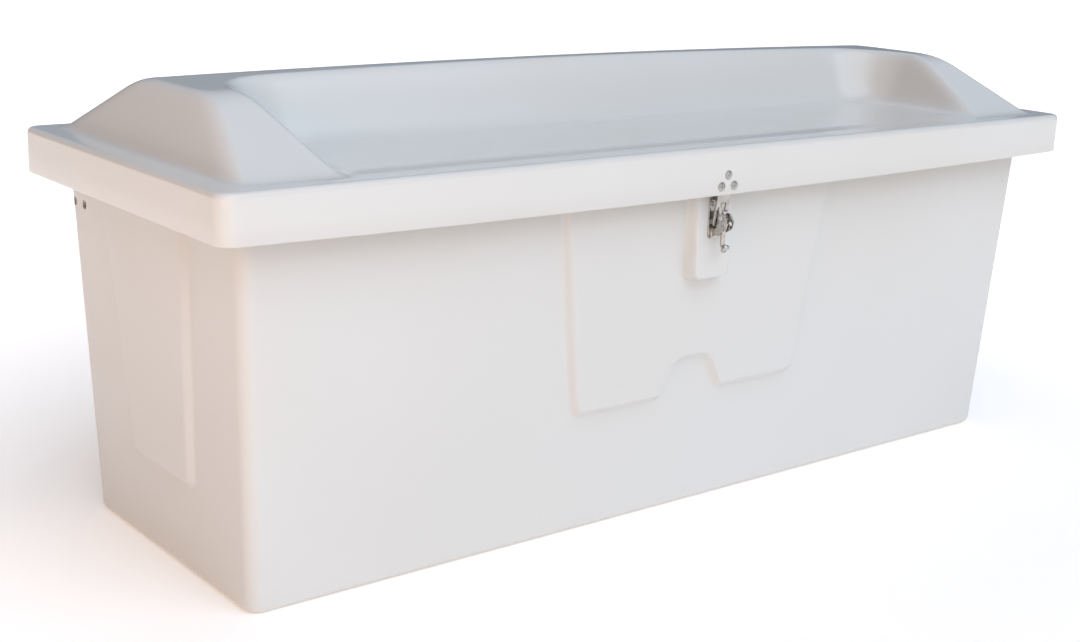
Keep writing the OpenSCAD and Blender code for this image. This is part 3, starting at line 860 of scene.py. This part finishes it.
def rest_height(sizes, x, y):
    """Height of the lid above its flange: arm rests and a crowned back rest round an open-fronted seat."""
    ax = np.abs(x)
    high = sizes.rest_height
    end_slope = (868 * MM - ax) * 1.75
    front_slope = (y + 300 * MM) * 0.525
    rear_slope = (293 * MM - y) * 0.565
    crest = high + sizes.crown * (1 - (x / (800 * MM)) ** 2)
    outside = soft_min(soft_min(front_slope, rear_slope, 20 * MM), end_slope, 30 * MM)
    outside = soft_min(outside, crest, 20 * MM)
    # seat: the distance into the rests from a foot line with round inner corners
    corner = 75 * MM
    across = ax - 700 * MM
    back = y + 16 * MM
    a = across + corner
    b = back + corner
    round_in = np.where((a > 0) & (b > 0), np.hypot(a, b) - corner, np.maximum(across, back))
    seat = soft_max(round_in * 2.1, np.zeros_like(x), 46 * MM)
    body = soft_min(outside, seat, 26 * MM)
    return soft_max(body, np.zeros_like(x), 9 * MM)


def lid_plan(sizes, inset):
    """Sample lines of the lid's plan, inside its edge radius."""
    half = LID_HIGH.x - inset
    side = [0, 690 * MM, 752 * MM, 800 * MM, 876 * MM, half - 17 * MM, half]
    steps = [0, 14 * MM, 3.2 * MM, 5 * MM, 3.6 * MM, 8 * MM, 3 * MM]
    right = graded(list(zip(side, steps)))
    columns = [-x for x in reversed(right[1:])] + right
    y0 = LID_LOW.y + inset
    y1 = LID_HIGH.y - inset
    stops = [(y0, 0), (y0 + 17 * MM, 3 * MM), (-306 * MM, 6 * MM), (-286 * MM, 3.2 * MM), (-130 * MM, 8 * MM),
             (-95 * MM, 5 * MM), (-40 * MM, 7 * MM), (46 * MM, 3.4 * MM), (140 * MM, 5.5 * MM),
             (280 * MM, 9 * MM),
             (y1 - 17 * MM, 4 * MM), (y1, 3 * MM)]
    return np.array(columns), np.array(graded(stops))


def round_corners(x, y, low, high, radius):
    """Moves the points of a square grid so that its outline gets round corners."""
    cx = np.clip(x, low[0] + radius, high[0] - radius)
    cy = np.clip(y, low[1] + radius, high[1] - radius)
    dx = x - cx
    dy = y - cy
    far = np.hypot(dx, dy)
    reach = np.maximum(np.abs(dx), np.abs(dy))
    scale = np.where(far > 1e-12, reach / np.maximum(far, 1e-12), 1.0)
    return cx + dx * scale, cy + dy * scale


def grid_border(rows, columns):
    """Indices round the border of a grid, counter-clockwise seen from above."""
    border = [(0, c) for c in range(columns)]
    border += [(r, columns - 1) for r in range(1, rows)]
    border += [(rows - 1, c) for c in range(columns - 2, -1, -1)]
    border += [(r, 0) for r in range(rows - 2, 0, -1)]
    return border


def lid_mesh(sizes):
    """Verts, faces and face slots of the lid shell: top, skirt and underside."""
    edge = sizes.lid_edge
    columns, lines = lid_plan(sizes, edge)
    gx, gy = np.meshgrid(columns, lines)
    low = (LID_LOW.x + edge, LID_LOW.y + edge)
    high = (LID_HIGH.x - edge, LID_HIGH.y - edge)
    gx, gy = round_corners(gx, gy, low, high, sizes.lid_corner - edge)
    gz = sizes.flange_top + rest_height(sizes, gx, gy)
    top = np.stack([gx, gy, gz], axis=-1)
    along = np.gradient(top, axis=1)
    across = np.gradient(top, axis=0)
    normal = np.cross(along, across)
    normal /= np.linalg.norm(normal, axis=-1, keepdims=True)
    under = top - normal * sizes.laminate
    rows, cols = gx.shape
    border = grid_border(rows, cols)
    verts = [tuple(p) for p in top.reshape(-1, 3)]
    faces = []
    slots = []
    for r in range(rows - 1):
        for c in range(cols - 1):
            a = r * cols + c
            faces.append((a, a + 1, a + cols + 1, a + cols))
            slots.append(0)
    ring = [r * cols + c for r, c in border]
    base = np.array([top[r, c] for r, c in border])

    centre_x = np.clip(base[:, 0], LID_LOW.x + sizes.lid_corner, LID_HIGH.x - sizes.lid_corner)
    centre_y = np.clip(base[:, 1], LID_LOW.y + sizes.lid_corner, LID_HIGH.y - sizes.lid_corner)
    out = np.stack([base[:, 0] - centre_x, base[:, 1] - centre_y], axis=1)
    out /= np.linalg.norm(out, axis=1, keepdims=True)
    front = (out[:, 1] < -0.99).astype(float)
    span = LID_HIGH.x - sizes.lid_corner
    bow = front * sizes.skirt_bow * np.clip(1 - (base[:, 0] / span) ** 2, 0, 1)
    bottom = sizes.skirt_low - bow

    def skirt_ring(shift, height):
        return np.stack([base[:, 0] + out[:, 0] * shift, base[:, 1] + out[:, 1] * shift,
                         np.broadcast_to(height, bow.shape)], axis=1)

    wall = sizes.laminate
    lip = 1.8 * MM
    rings = []
    for angle in (15, 30, 45, 60, 75, 90):
        turn = math.radians(angle)
        rings.append(skirt_ring(edge * math.sin(turn), sizes.flange_top - edge * (1 - math.cos(turn))))
    rings.append(skirt_ring(edge, (sizes.flange_top - edge + bottom) / 2))
    rings.append(skirt_ring(edge, bottom + lip))
    rings.append(skirt_ring(edge - 0.5 * lip, bottom + 0.3 * lip))
    rings.append(skirt_ring(edge - 1.2 * lip, bottom))
    outside = len(rings)
    rings.append(skirt_ring(edge - wall + lip, bottom))
    rings.append(skirt_ring(edge - wall, bottom + 0.7 * lip))
    rings.append(skirt_ring(edge - wall, (sizes.flange_top - 14 * MM + bottom) / 2))
    rings.append(skirt_ring(edge - wall, sizes.flange_top - wall - 6 * MM))
    rings.append(skirt_ring(edge - wall - 1.8 * MM, sizes.flange_top - wall - 1.8 * MM))
    previous = ring
    for index, points in enumerate(rings):
        start = len(verts)
        verts += [tuple(p) for p in points]
        current = list(range(start, start + len(points)))
        for i in range(len(points)):
            j = (i + 1) % len(points)
            faces.append((previous[j], previous[i], current[i], current[j]))
            slots.append(0 if index <= outside else 1)
        previous = current
    start = len(verts)
    inner = under.copy()
    for r, c in border:
        inner[r, c] = (top[r, c][0], top[r, c][1], sizes.flange_top - wall)
    shrink = 6 * MM
    for position, (r, c) in enumerate(border):
        inner[r, c, 0] -= out[position, 0] * shrink * 0.5
        inner[r, c, 1] -= out[position, 1] * shrink * 0.5
    verts += [tuple(p) for p in inner.reshape(-1, 3)]
    for r in range(rows - 1):
        for c in range(cols - 1):
            a = start + r * cols + c
            faces.append((a, a + cols, a + cols + 1, a + 1))
            slots.append(1)
    last = [start + r * cols + c for r, c in border]
    for i in range(len(last)):
        j = (i + 1) % len(last)
        faces.append((previous[j], previous[i], last[i], last[j]))
        slots.append(1)
    return verts, faces, slots


def build_lid(context):
    """The lid shell: polished gelcoat above, laminate below."""
    sizes = context.scene.dock_box_sizes
    colours = context.scene.dock_box_colours
    verts, faces, slots = lid_mesh(sizes)
    return make_object("seat_top_lid", verts, faces,
                       [gelcoat_material(colours, "moulded_gelcoat_gloss", 0.11, 0.03),
                        laminate_material(colours)], slots, 50.0)


# ---------------------------------------------------------------------------
# Small parts
# ---------------------------------------------------------------------------

def facing(origin, across, up):
    """A matrix whose X runs across, Y up and Z out of the drawn plane."""
    x = Vector(across).normalized()
    y = Vector(up).normalized()
    z = x.cross(y)
    matrix = Matrix((x, y, z)).transposed().to_4x4()
    matrix.translation = Vector(origin)
    return matrix


def rounded_box_outline(x0, x1, y0, y1, radius):
    """A rectangle with round corners, as an outline."""
    return filleted([(x0, y0, radius), (x1, y0, radius), (x1, y1, radius), (x0, y1, radius)])


def build_gasket(context):
    """A bulb seal on the rim: a flat foot with a round, slightly flattened bulb."""
    colours = context.scene.dock_box_colours
    low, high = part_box("rim_gasket")
    width = 10 * MM
    rise = high.z - low.z
    middle = rounded_box_outline(low.x + width / 2, high.x - width / 2, low.y + width / 2,
                                 high.y - width / 2, 25 * MM)
    path = []
    for (x0, y0), (x1, y1) in zip(middle, middle[1:] + middle[:1]):
        steps = max(int(math.hypot(x1 - x0, y1 - y0) / (60 * MM)), 1)
        path += [(x0 + (x1 - x0) * k / steps, y0 + (y1 - y0) * k / steps) for k in range(steps)]
    profile = [(-0.5, 0.0), (-0.5, 0.14), (-0.4, 0.2)]
    profile += [(0.42 * math.cos(a), 0.58 + 0.42 * math.sin(a)) for a in np.radians(np.linspace(205, -25,
                                                                                                15))]
    profile += [(0.4, 0.2), (0.5, 0.14), (0.5, 0.0)]
    loops = []
    total = len(path)
    for i, (x, y) in enumerate(path):
        bx, by = path[i - 1]
        ax, ay = path[(i + 1) % total]
        direction = Vector((ax - bx, ay - by)).normalized()
        normal = Vector((direction.y, -direction.x))
        loops.append(np.array([(x + normal.x * u * width, y + normal.y * u * width, low.z + v * rise)
                               for u, v in profile]))
    loops.append(loops[0])
    verts, faces = loft(loops)
    return make_object("bulb_seal", verts, faces, [rubber_material(colours)])


def blind_rivet(name, point, normal, radius, height, grip, steel, dark):
    """A blind rivet: a low flange with the broken mandrel in its middle, and the set tail inside."""
    out = Vector(normal).normalized()
    side = out.orthogonal()
    matrix = facing(point, side, out.cross(side))
    shank = 2.35 * MM
    dome = radius * 0.62
    hole = radius * 0.27
    head = [(0.0, -grip * 0.5), (shank, -grip * 0.5), (shank, 0.0), (radius * 0.98, 0.0),
            (radius, height * 0.14),
            (radius * 0.975, height * 0.32), (radius * 0.93, height * 0.4), (dome * 1.12, height * 0.46),
            (dome, height * 0.56), (dome * 0.9, height * 0.82), (dome * 0.74, height * 0.98),
            (dome * 0.6, height),
            (hole * 1.12, height * 0.93), (hole, height * 0.8), (hole, -height * 0.6), (0.0, -height * 0.6)]
    flange = turned(name + "_flange", head, matrix, steel, 32)
    pin_top = height * 0.15
    pin = [(0.0, -height * 0.55), (hole * 0.8, -height * 0.55), (hole * 0.8, pin_top - 0.3 * MM),
           (hole * 0.55, pin_top), (0.0, pin_top - 0.15 * MM)]
    mandrel = turned(name + "_mandrel", pin, matrix, dark, 20)
    tail = [(0.0, -grip - 1.7 * MM), (1.6 * MM, -grip - 1.7 * MM), (3.1 * MM, -grip - 1.3 * MM),
            (3.7 * MM, -grip - 0.7 * MM), (3.8 * MM, -grip - 0.2 * MM), (shank, -grip), (shank, -grip * 0.5),
            (0.0, -grip * 0.5)]
    blind = turned(name + "_tail", tail, matrix, steel, 24)
    return [flange, mandrel, blind]


def rivet_group(name, points, normal, radius, height, grip, steel, dark):
    """Several like rivets as one piece."""
    parts = []
    for index, point in enumerate(points):
        parts += blind_rivet(f"{name}_{index}", point, normal, radius, height, grip, steel, dark)
    return joined(name, parts)


def strap_points():
    """Where the three rivets hold the strap, on the front of the skirt."""
    y = LID_LOW.y
    return [(0.0, y, 596 * MM), (-14.2 * MM, y, 577.5 * MM), (14.2 * MM, y, 577.5 * MM)]


def build_strap(context):
    """The strap: one stamping, bent back below the skirt, with a slot for the lever's nose."""
    steel = stainless_material(context.scene.dock_box_colours)
    thick = 3 * MM
    half = STRAP_HIGH.x
    half_leaning = 14.5 * MM
    bend = 565 * MM
    end = STRAP_LOW.z
    top = STRAP_HIGH.z
    upper = [(-half_leaning, bend + 3 * MM, 0), (-half, 571 * MM, 3 * MM), (-half, 585 * MM, 6 * MM),
             (-12 * MM, top, 7 * MM), (12 * MM, top, 7 * MM), (half, 585 * MM, 6 * MM),
             (half, 571 * MM, 3 * MM), (half_leaning, bend + 3 * MM, 0), (half_leaning, end, 7 * MM),
             (-half_leaning, end, 7 * MM)]
    slot = rounded_box_outline(-7 * MM, 7 * MM, 518.8 * MM, 550 * MM, 6.9 * MM)
    face = facing((0, LID_LOW.y + 5 * MM + thick / 2, 0), (1, 0, 0), (0, 0, 1))
    obj = stamped("latch_strap", [filleted(upper), slot], thick, 0.6 * MM, face, steel, 3)
    work = bmesh.new()
    work.from_mesh(obj.data)
    for height in np.linspace(bend - 8 * MM, bend + 3 * MM, 8):
        bmesh.ops.bisect_plane(work, geom=work.verts[:] + work.edges[:] + work.faces[:], dist=1e-7,
                               plane_co=(0, 0, height), plane_no=(0, 0, 1))
    lean = math.tan(math.radians(10))
    run = 9 * MM
    for vert in work.verts:
        drop = bend + 3 * MM - vert.co.z
        if drop > 0:
            vert.co.y += lean * (drop * drop / (2 * run) if drop < run else drop - run / 2)
    work.to_mesh(obj.data)
    work.free()
    tidy(obj, 40.0)
    return obj


def catch_rivet_points():
    """Where four rivets hold the latch base, on its face behind the strap."""
    return [(x, PLATE_HIGH.y - PLATE_THICK, z) for x in (-10 * MM, 10 * MM) for z in (516 * MM, 546 * MM)]


def build_catch(context):
    """The latch base: a plate with two ears that pass beside the strap and carry the pin and a padlock."""
    steel = stainless_material(context.scene.dock_box_colours)
    thick = PLATE_THICK
    face_y = PLATE_HIGH.y
    half = PLATE_HIGH.x
    holes = [circle_outline(x, z, 2.4 * MM, 16) for x, _, z in catch_rivet_points()]
    plate = stamped("catch_plate",
                    [rounded_box_outline(-half, half, PLATE_LOW.z, PLATE_HIGH.z, 6 * MM)] + holes, thick,
                    0.5 * MM,
                    facing((0, face_y - thick / 2, 0), (1, 0, 0), (0, 0, 1)), steel)
    py, pz = LEVER_PIVOT.y, LEVER_PIVOT.z
    root = face_y - 1 * MM
    ear = filleted([
        (root, 489 * MM, 0), (root - 9 * MM, 492.5 * MM, 8 * MM), (py - 13 * MM, pz - 17.5 * MM, 7 * MM),
        (py - 16.5 * MM, pz - 6 * MM, 6 * MM), (py - 6 * MM, pz + 8.2 * MM, 6 * MM),
        (py + 6.2 * MM, pz + 7.4 * MM, 6 * MM), (py + 7 * MM, pz - 6 * MM, 8 * MM),
        (root - 11 * MM, 505.5 * MM, 4 * MM),
        (root, 504 * MM, 0)])
    shackle = circle_outline(py - 9 * MM, pz - 9 * MM, 3.5 * MM, 24)
    parts = [plate]
    for side in (-1, 1):
        middle = side * (EAR_GAP + thick / 2)
        parts.append(stamped("catch_ear", [ear, shackle], thick, 0.5 * MM,
                             facing((middle, 0, 0), (0, 1, 0), (0, 0, 1)), steel))
        # the weld that joins each ear to the plate
        bead = [(0, -7 * MM), (1.1 * MM, -6.8 * MM), (1.6 * MM, -6 * MM), (1.6 * MM, 6 * MM),
                (1.1 * MM, 6.8 * MM),
                (0, 7 * MM)]
        at = Matrix.Translation((side * (EAR_GAP + thick), face_y - thick, 496.5 * MM))
        parts.append(turned("ear_weld", bead, at, steel, 16))
    return joined("latch_base", parts)


def build_lever(context):
    """The hanging lever: an eye round the pin, a waisted shank, a dished head turned forward, and a nose."""
    steel = stainless_material(context.scene.dock_box_colours, "cast_polished_stainless", 0.16)
    across = facing(LEVER_PIVOT, (0, 1, 0), (0, 0, 1))
    eye = turned("lever_eye", [(0, -5 * MM), (4.9 * MM, -5 * MM), (6.1 * MM, -4.5 * MM),
                               (6.5 * MM, -3.4 * MM),
                               (6.5 * MM, 3.4 * MM), (6.1 * MM, 4.5 * MM), (4.9 * MM, 5 * MM), (0, 5 * MM)],
                 across, steel, 40)
    # one swept body: straight shank, bend, flared head
    tilt = math.radians(55)
    bend = LEVER_PIVOT + Vector((0, 0, -46 * MM))
    forward = Vector((0, -math.sin(tilt), -math.cos(tilt)))
    stations = [(-2, 0.5), (-2.5, 4.3), (-8, 4.5), (-16, 4.3), (-26, 4.1), (-36, 4.2), (-41, 4.4)]
    rings = [(LEVER_PIVOT + Vector((0, 0, down * MM)), Vector((0, 0, -1)), radius * MM) for down,
             radius in stations]
    turn_radius = 5 * MM
    reach = turn_radius * math.tan(tilt / 2)
    middle = bend + Vector((0, -turn_radius, reach))
    for k in range(1, 7):
        angle = tilt * k / 6
        spoke = Vector((0, math.cos(angle), -math.sin(angle)))
        rings.append((middle + spoke * turn_radius, Vector((0, -math.sin(angle), -math.cos(angle))),
                      4.3 * MM))
    for ahead, radius in ((3.4, 4.4), (4.6, 5.2), (5.6, 6.6), (6.6, 7.7), (7.6, 8.0), (9.4, 8.0), (10.0, 7.6),
                          (10.0, 6.5), (9.0, 5.8), (8.5, 4.6), (8.4, 2.0), (8.4, 0.2)):
        rings.append((bend + forward * ahead * MM, forward, radius * MM))
    loops = []
    for centre, axis, radius in rings:
        side = Vector((1, 0, 0))
        up = axis.cross(side)
        loops.append(np.array([centre + side * radius * math.cos(a) + up * radius * math.sin(a)
                               for a in np.linspace(0, 2 * math.pi, 36, endpoint=False)]))
    verts, faces = loft(loops)
    count = len(loops[0])
    faces.append(tuple(range(count)))
    faces.append(tuple(range((len(loops) - 1) * count, len(loops) * count)))
    shank = make_object("lever_shank", verts, faces, [steel], sharp=50)
    nose_outline = filleted([(-2.5 * MM, 0, 0), (2.5 * MM, 0, 0), (2.5 * MM, 13 * MM, 2.3 * MM),
                             (-2.5 * MM, 13 * MM, 2.3 * MM)])
    nose = stamped("lever_nose", [nose_outline], 8 * MM, 0.8 * MM, across, steel)
    whole = carved(eye, shank, "UNION", 38.0)
    whole = carved(whole, nose, "UNION", 38.0)
    bore = turned("lever_bore", [(0, -9 * MM), (2.55 * MM, -9 * MM), (2.55 * MM, 9 * MM), (0, 9 * MM)],
                  across,
                  steel, 32)
    whole = carved(whole, bore, "DIFFERENCE", 38.0)
    whole.name = "latch_lever"
    return whole


def build_pin(context):
    """The lever's pin with two peened heads."""
    rod = rod_material(context.scene.dock_box_colours)
    across = facing(LEVER_PIVOT, (0, 1, 0), (0, 0, 1))
    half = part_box("lever_pin")[1].x
    profile = [(0, -half), (2.6 * MM, -half + 0.15 * MM), (3.8 * MM, -half + 0.6 * MM),
               (4.2 * MM, -half + 1.2 * MM), (4.2 * MM, -half + 1.5 * MM), (2.48 * MM, -half + 1.5 * MM),
               (2.48 * MM, half - 1.5 * MM), (4.2 * MM, half - 1.5 * MM), (4.2 * MM, half - 1.2 * MM),
               (3.8 * MM, half - 0.6 * MM), (2.6 * MM, half - 0.15 * MM), (0, half)]
    return turned("latch_pin", profile, across, rod, 32)


def finish_nodes(names, material):
    """Gives carried-over CAD nodes a material."""
    for name in names:
        data = NODES[name].data
        data.materials.clear()
        data.materials.append(material)


# ---------------------------------------------------------------------------
# Operators: one for each piece or group of like pieces
# ---------------------------------------------------------------------------

class DOCKBOX_OT_tub(bpy.types.Operator):
    """Build the moulded tub"""

    bl_idname = "dockbox.tub"
    bl_label = "Tub"

    def execute(self, context):
        place(build_tub(context), "tub", "gelcoat", "tub_shell")
        return {"FINISHED"}


class DOCKBOX_OT_lid(bpy.types.Operator):
    """Build the seat-top lid"""

    bl_idname = "dockbox.lid"
    bl_label = "Lid"

    def execute(self, context):
        place(build_lid(context), "lid", "gelcoat", "lid_shell")
        finish_nodes(["seat_core"], core_material(context.scene.dock_box_colours))
        return {"FINISHED"}


class DOCKBOX_OT_seal(bpy.types.Operator):
    """Build the bulb seal on the rim"""

    bl_idname = "dockbox.seal"
    bl_label = "Seal"

    def execute(self, context):
        place(build_gasket(context), "tub", "rubber", "rim_gasket")
        return {"FINISHED"}


class DOCKBOX_OT_hinge(bpy.types.Operator):
    """Finish the continuous hinge and set its rivets"""

    bl_idname = "dockbox.hinge"
    bl_label = "Hinge"

    def execute(self, context):
        colours = context.scene.dock_box_colours
        steel = stainless_material(colours)
        dark = stainless_material(colours, "broken_mandrel_steel", 0.45)
        finish_nodes(["tub_hinge_leaf", "lid_hinge_leaf"], steel)
        finish_nodes(["hinge_pin"], rod_material(colours))
        start, end = HINGE_LOW.x - 1 * MM, HINGE_HIGH.x - 20 * MM
        pitch = 100 * MM
        for label, body, first, y, z, node in (
                ("tub_leaf_rivets", "tub", 25 * MM, TUB_HIGH.y + 1.5 * MM, 588 * MM, "tub_hinge_rivets"),
                ("lid_leaf_rivets", "lid", 75 * MM, LID_HIGH.y, 592 * MM, "lid_hinge_rivets")):
            count = int((end - start - first) / pitch) + 1
            points = [(start + first + pitch * i, y, z) for i in range(count)]
            group = rivet_group(label, points, (0, 1, 0), 5 * MM, 1.3 * MM, 6.5 * MM, steel, dark)
            place(group, body, "stainless", node)
        return {"FINISHED"}


class DOCKBOX_OT_latch(bpy.types.Operator):
    """Build the strap, its base, lever, pin and rivets"""

    bl_idname = "dockbox.latch"
    bl_label = "Latch"

    def execute(self, context):
        colours = context.scene.dock_box_colours
        steel = stainless_material(colours)
        dark = stainless_material(colours, "broken_mandrel_steel", 0.45)
        place(build_strap(context), "lid", "stainless", "strap")
        flange = stainless_material(colours, "tumbled_rivet_steel", 0.42)
        place(rivet_group("strap_rivet_set", strap_points(), (0, -1, 0), 8 * MM, 1.9 * MM, 8 * MM, flange,
                          dark),
              "lid", "stainless", "strap_rivets")
        place(build_catch(context), "tub", "stainless", "catch_base")
        place(rivet_group("catch_rivet_set", catch_rivet_points(), (0, -1, 0), 4.5 * MM, 1.4 * MM, 9.5 * MM,
                          flange,
                          dark),
              "tub", "stainless", "catch_rivets")
        place(build_lever(context), "lever", "stainless", "lever")
        place(build_pin(context), "tub", "polished_rod", "lever_pin")
        finish_nodes(["catch_backing_plate"], steel)
        return {"FINISHED"}


class DOCKBOX_OT_stays(bpy.types.Operator):
    """Finish the gas stays and their brackets"""

    bl_idname = "dockbox.stays"
    bl_label = "Stays"

    def execute(self, context):
        colours = context.scene.dock_box_colours
        steel = stainless_material(colours)
        finish_nodes(["stay_cylinder_left", "stay_cylinder_right"], paint_material(colours))
        finish_nodes(["stay_rod_left", "stay_rod_right"], rod_material(colours))
        finish_nodes(["stay_wall_brackets", "stay_wall_bolts", "stay_lid_brackets", "stay_lid_screws"], steel)
        return {"FINISHED"}


class DOCKBOX_OT_stage(bpy.types.Operator):
    """Set the floor, the lights and the camera"""

    bl_idname = "dockbox.stage"
    bl_label = "Stage"

    def execute(self, context):
        build_floor(context)
        build_lights(context)
        build_camera(context)
        return {"FINISHED"}


# ---------------------------------------------------------------------------
# Stage
# ---------------------------------------------------------------------------

def build_floor(context):
    """A wide pale floor."""
    reach = 60.0
    steps = 6
    places = [-reach + 2 * reach * i / steps for i in range(steps + 1)]
    verts = [(x, y, 0.0) for y in places for x in places]
    row = steps + 1
    corners = [r * row + c for r in range(steps) for c in range(steps)]
    faces = [(a, a + 1, a + row + 1, a + row) for a in corners]
    floor = make_object("studio_floor", verts, faces, [floor_material(context.scene.dock_box_colours)],
                        sharp=60)


def soft_light(name, size, power, colour, place_at, target):
    """A square area light turned towards a point."""
    light = bpy.data.lights.new(name, "AREA")
    light.shape = "SQUARE"
    light.size = size
    light.energy = power
    light.color = linear(colour)
    holder = bpy.data.objects.new(name, light)
    bpy.context.scene.collection.objects.link(holder)
    holder.location = place_at
    aim = Vector(target) - Vector(place_at)
    holder.rotation_euler = aim.to_track_quat("-Z", "Y").to_euler()


def sky_lobe(tree, ray, towards, start, end, colour, strength):
    """A soft patch of light in the surroundings: full where the ray points along towards, gone past start."""
    aim = Vector(towards).normalized()
    facing_it = node_in(tree, "ShaderNodeVectorMath", {"operation": "DOT_PRODUCT"})
    tree.links.new(ray, facing_it.inputs[0])
    facing_it.inputs[1].default_value = aim
    share = node_in(tree, "ShaderNodeMapRange",
                    {"interpolation_type": "SMOOTHSTEP", "From Min": start, "From Max": end, "To Min": 0.0,
                     "To Max": strength}, {"Value": facing_it.outputs["Value"]})
    tint = node_in(tree, "ShaderNodeVectorMath", {"operation": "SCALE"}, {"Scale": share.outputs["Result"]})
    tint.inputs[0].default_value = linear(colour)
    return tint.outputs["Vector"]


def build_lights(context):
    """Soft surroundings, bright from the front above and warm on the left, and two softboxes near the box."""
    world = bpy.data.worlds.new("studio_air")
    context.scene.world = world
    world.use_nodes = True
    tree = world.node_tree
    back = tree.nodes["Background"]
    ray = node_in(tree, "ShaderNodeTexCoord").outputs["Generated"]
    # in order: even air, high sky, rear wall, warm left, right front, high right, bright front above
    lobes = [
        sky_lobe(tree, ray, (0.0, 0.0, 1.0), -2.0, -1.9, "#8e99a6", 0.1),
        sky_lobe(tree, ray, (0.25, 0.1, 1.0), 0.0, 1.0, "#b4c6dc", 0.26),
        sky_lobe(tree, ray, (0.6, 0.75, 0.26), 0.45, 0.95, "#8e9cad", 0.28),
        sky_lobe(tree, ray, (-1.0, -0.4, 0.75), 0.5, 0.97, "#ffbc68", 0.3),
        sky_lobe(tree, ray, (0.6, -0.66, 0.42), 0.75, 0.95, "#f2f6ff", 0.1),
        sky_lobe(tree, ray, (0.45, 0.3, 0.8), 0.75, 0.98, "#e4efff", 0.3),
        sky_lobe(tree, ray, (0.0, -0.6, 0.8), 0.72, 0.98, "#dfefff", 2.4),
    ]
    total = lobes[0]
    for lobe in lobes[1:]:
        add = node_in(tree, "ShaderNodeVectorMath", {"operation": "ADD"})
        tree.links.new(total, add.inputs[0])
        tree.links.new(lobe, add.inputs[1])
        total = add.outputs["Vector"]
    tree.links.new(total, back.inputs["Color"])
    back.inputs["Strength"].default_value = 1.0
    soft_light("key_softbox", 1.8, 12.0, "#e4f0ff", (-1.5, -2.9, 1.9), (-0.5, 0.0, 0.5))
    soft_light("warm_softbox", 0.9, 7.0, "#ffae54", (-2.6, -1.2, 0.9), (-0.9, -0.2, 0.4))
    context.scene.view_settings.view_transform = "Standard"


def build_camera(context):
    """A camera at the left front, a little above the lid, level but for a slight roll."""
    camera = bpy.data.cameras.new("view_camera")
    camera.sensor_width = 36.0
    camera.lens = 54.13
    camera.clip_end = 100.0
    holder = bpy.data.objects.new("view_camera", camera)
    context.scene.collection.objects.link(holder)
    yaw, pitch, roll = 0.6767, 0.2612, 0.0361
    ahead = Vector((math.sin(yaw) * math.cos(pitch), math.cos(yaw) * math.cos(pitch), -math.sin(pitch)))
    right = Vector((math.cos(yaw), -math.sin(yaw), 0.0))
    up = right.cross(ahead)
    rolled_right = right * math.cos(roll) + up * math.sin(roll)
    rolled_up = up * math.cos(roll) - right * math.sin(roll)
    matrix = Matrix((rolled_right, rolled_up, -ahead)).transposed().to_4x4()
    matrix.translation = Vector((-1.8733, -2.1995, 1.0388))
    holder.matrix_world = matrix
    context.scene.camera = holder


# ---------------------------------------------------------------------------
# Add-on
# ---------------------------------------------------------------------------

OPERATORS = (
    DOCKBOX_OT_stage,
    DOCKBOX_OT_tub,
    DOCKBOX_OT_lid,
    DOCKBOX_OT_seal,
    DOCKBOX_OT_hinge,
    DOCKBOX_OT_latch,
    DOCKBOX_OT_stays,
)


class DOCKBOX_PT_panel(bpy.types.Panel):
    """Pieces and sizes of the dock box"""

    bl_idname = "DOCKBOX_PT_panel"
    bl_label = "Dock Box"
    bl_space_type = "VIEW_3D"
    bl_region_type = "UI"
    bl_category = "Dock Box"

    def draw(self, context):
        layout = self.layout
        for operator in OPERATORS:
            layout.operator(operator.bl_idname)
        for group in (context.scene.dock_box_sizes, context.scene.dock_box_colours):
            for name in group.bl_rna.properties.keys():
                if name not in ("rna_type", "name"):
                    layout.prop(group, name)


CLASSES = (DockBoxSizes, DockBoxColours, *OPERATORS, DOCKBOX_PT_panel)


def register():
    """Registers the classes and their scene properties."""
    for cls in CLASSES:
        bpy.utils.register_class(cls)
    bpy.types.Scene.dock_box_sizes = bpy.props.PointerProperty(type=DockBoxSizes)
    bpy.types.Scene.dock_box_colours = bpy.props.PointerProperty(type=DockBoxColours)


def unregister():
    """Removes what register added."""
    del bpy.types.Scene.dock_box_colours
    del bpy.types.Scene.dock_box_sizes
    for cls in reversed(CLASSES):
        bpy.utils.unregister_class(cls)


def main():
    """Builds every piece in order."""
    register()
    for operator in OPERATORS:
        group, name = operator.bl_idname.split(".")
        getattr(getattr(bpy.ops, group), name)()


if __name__ == "__main__":
    main()
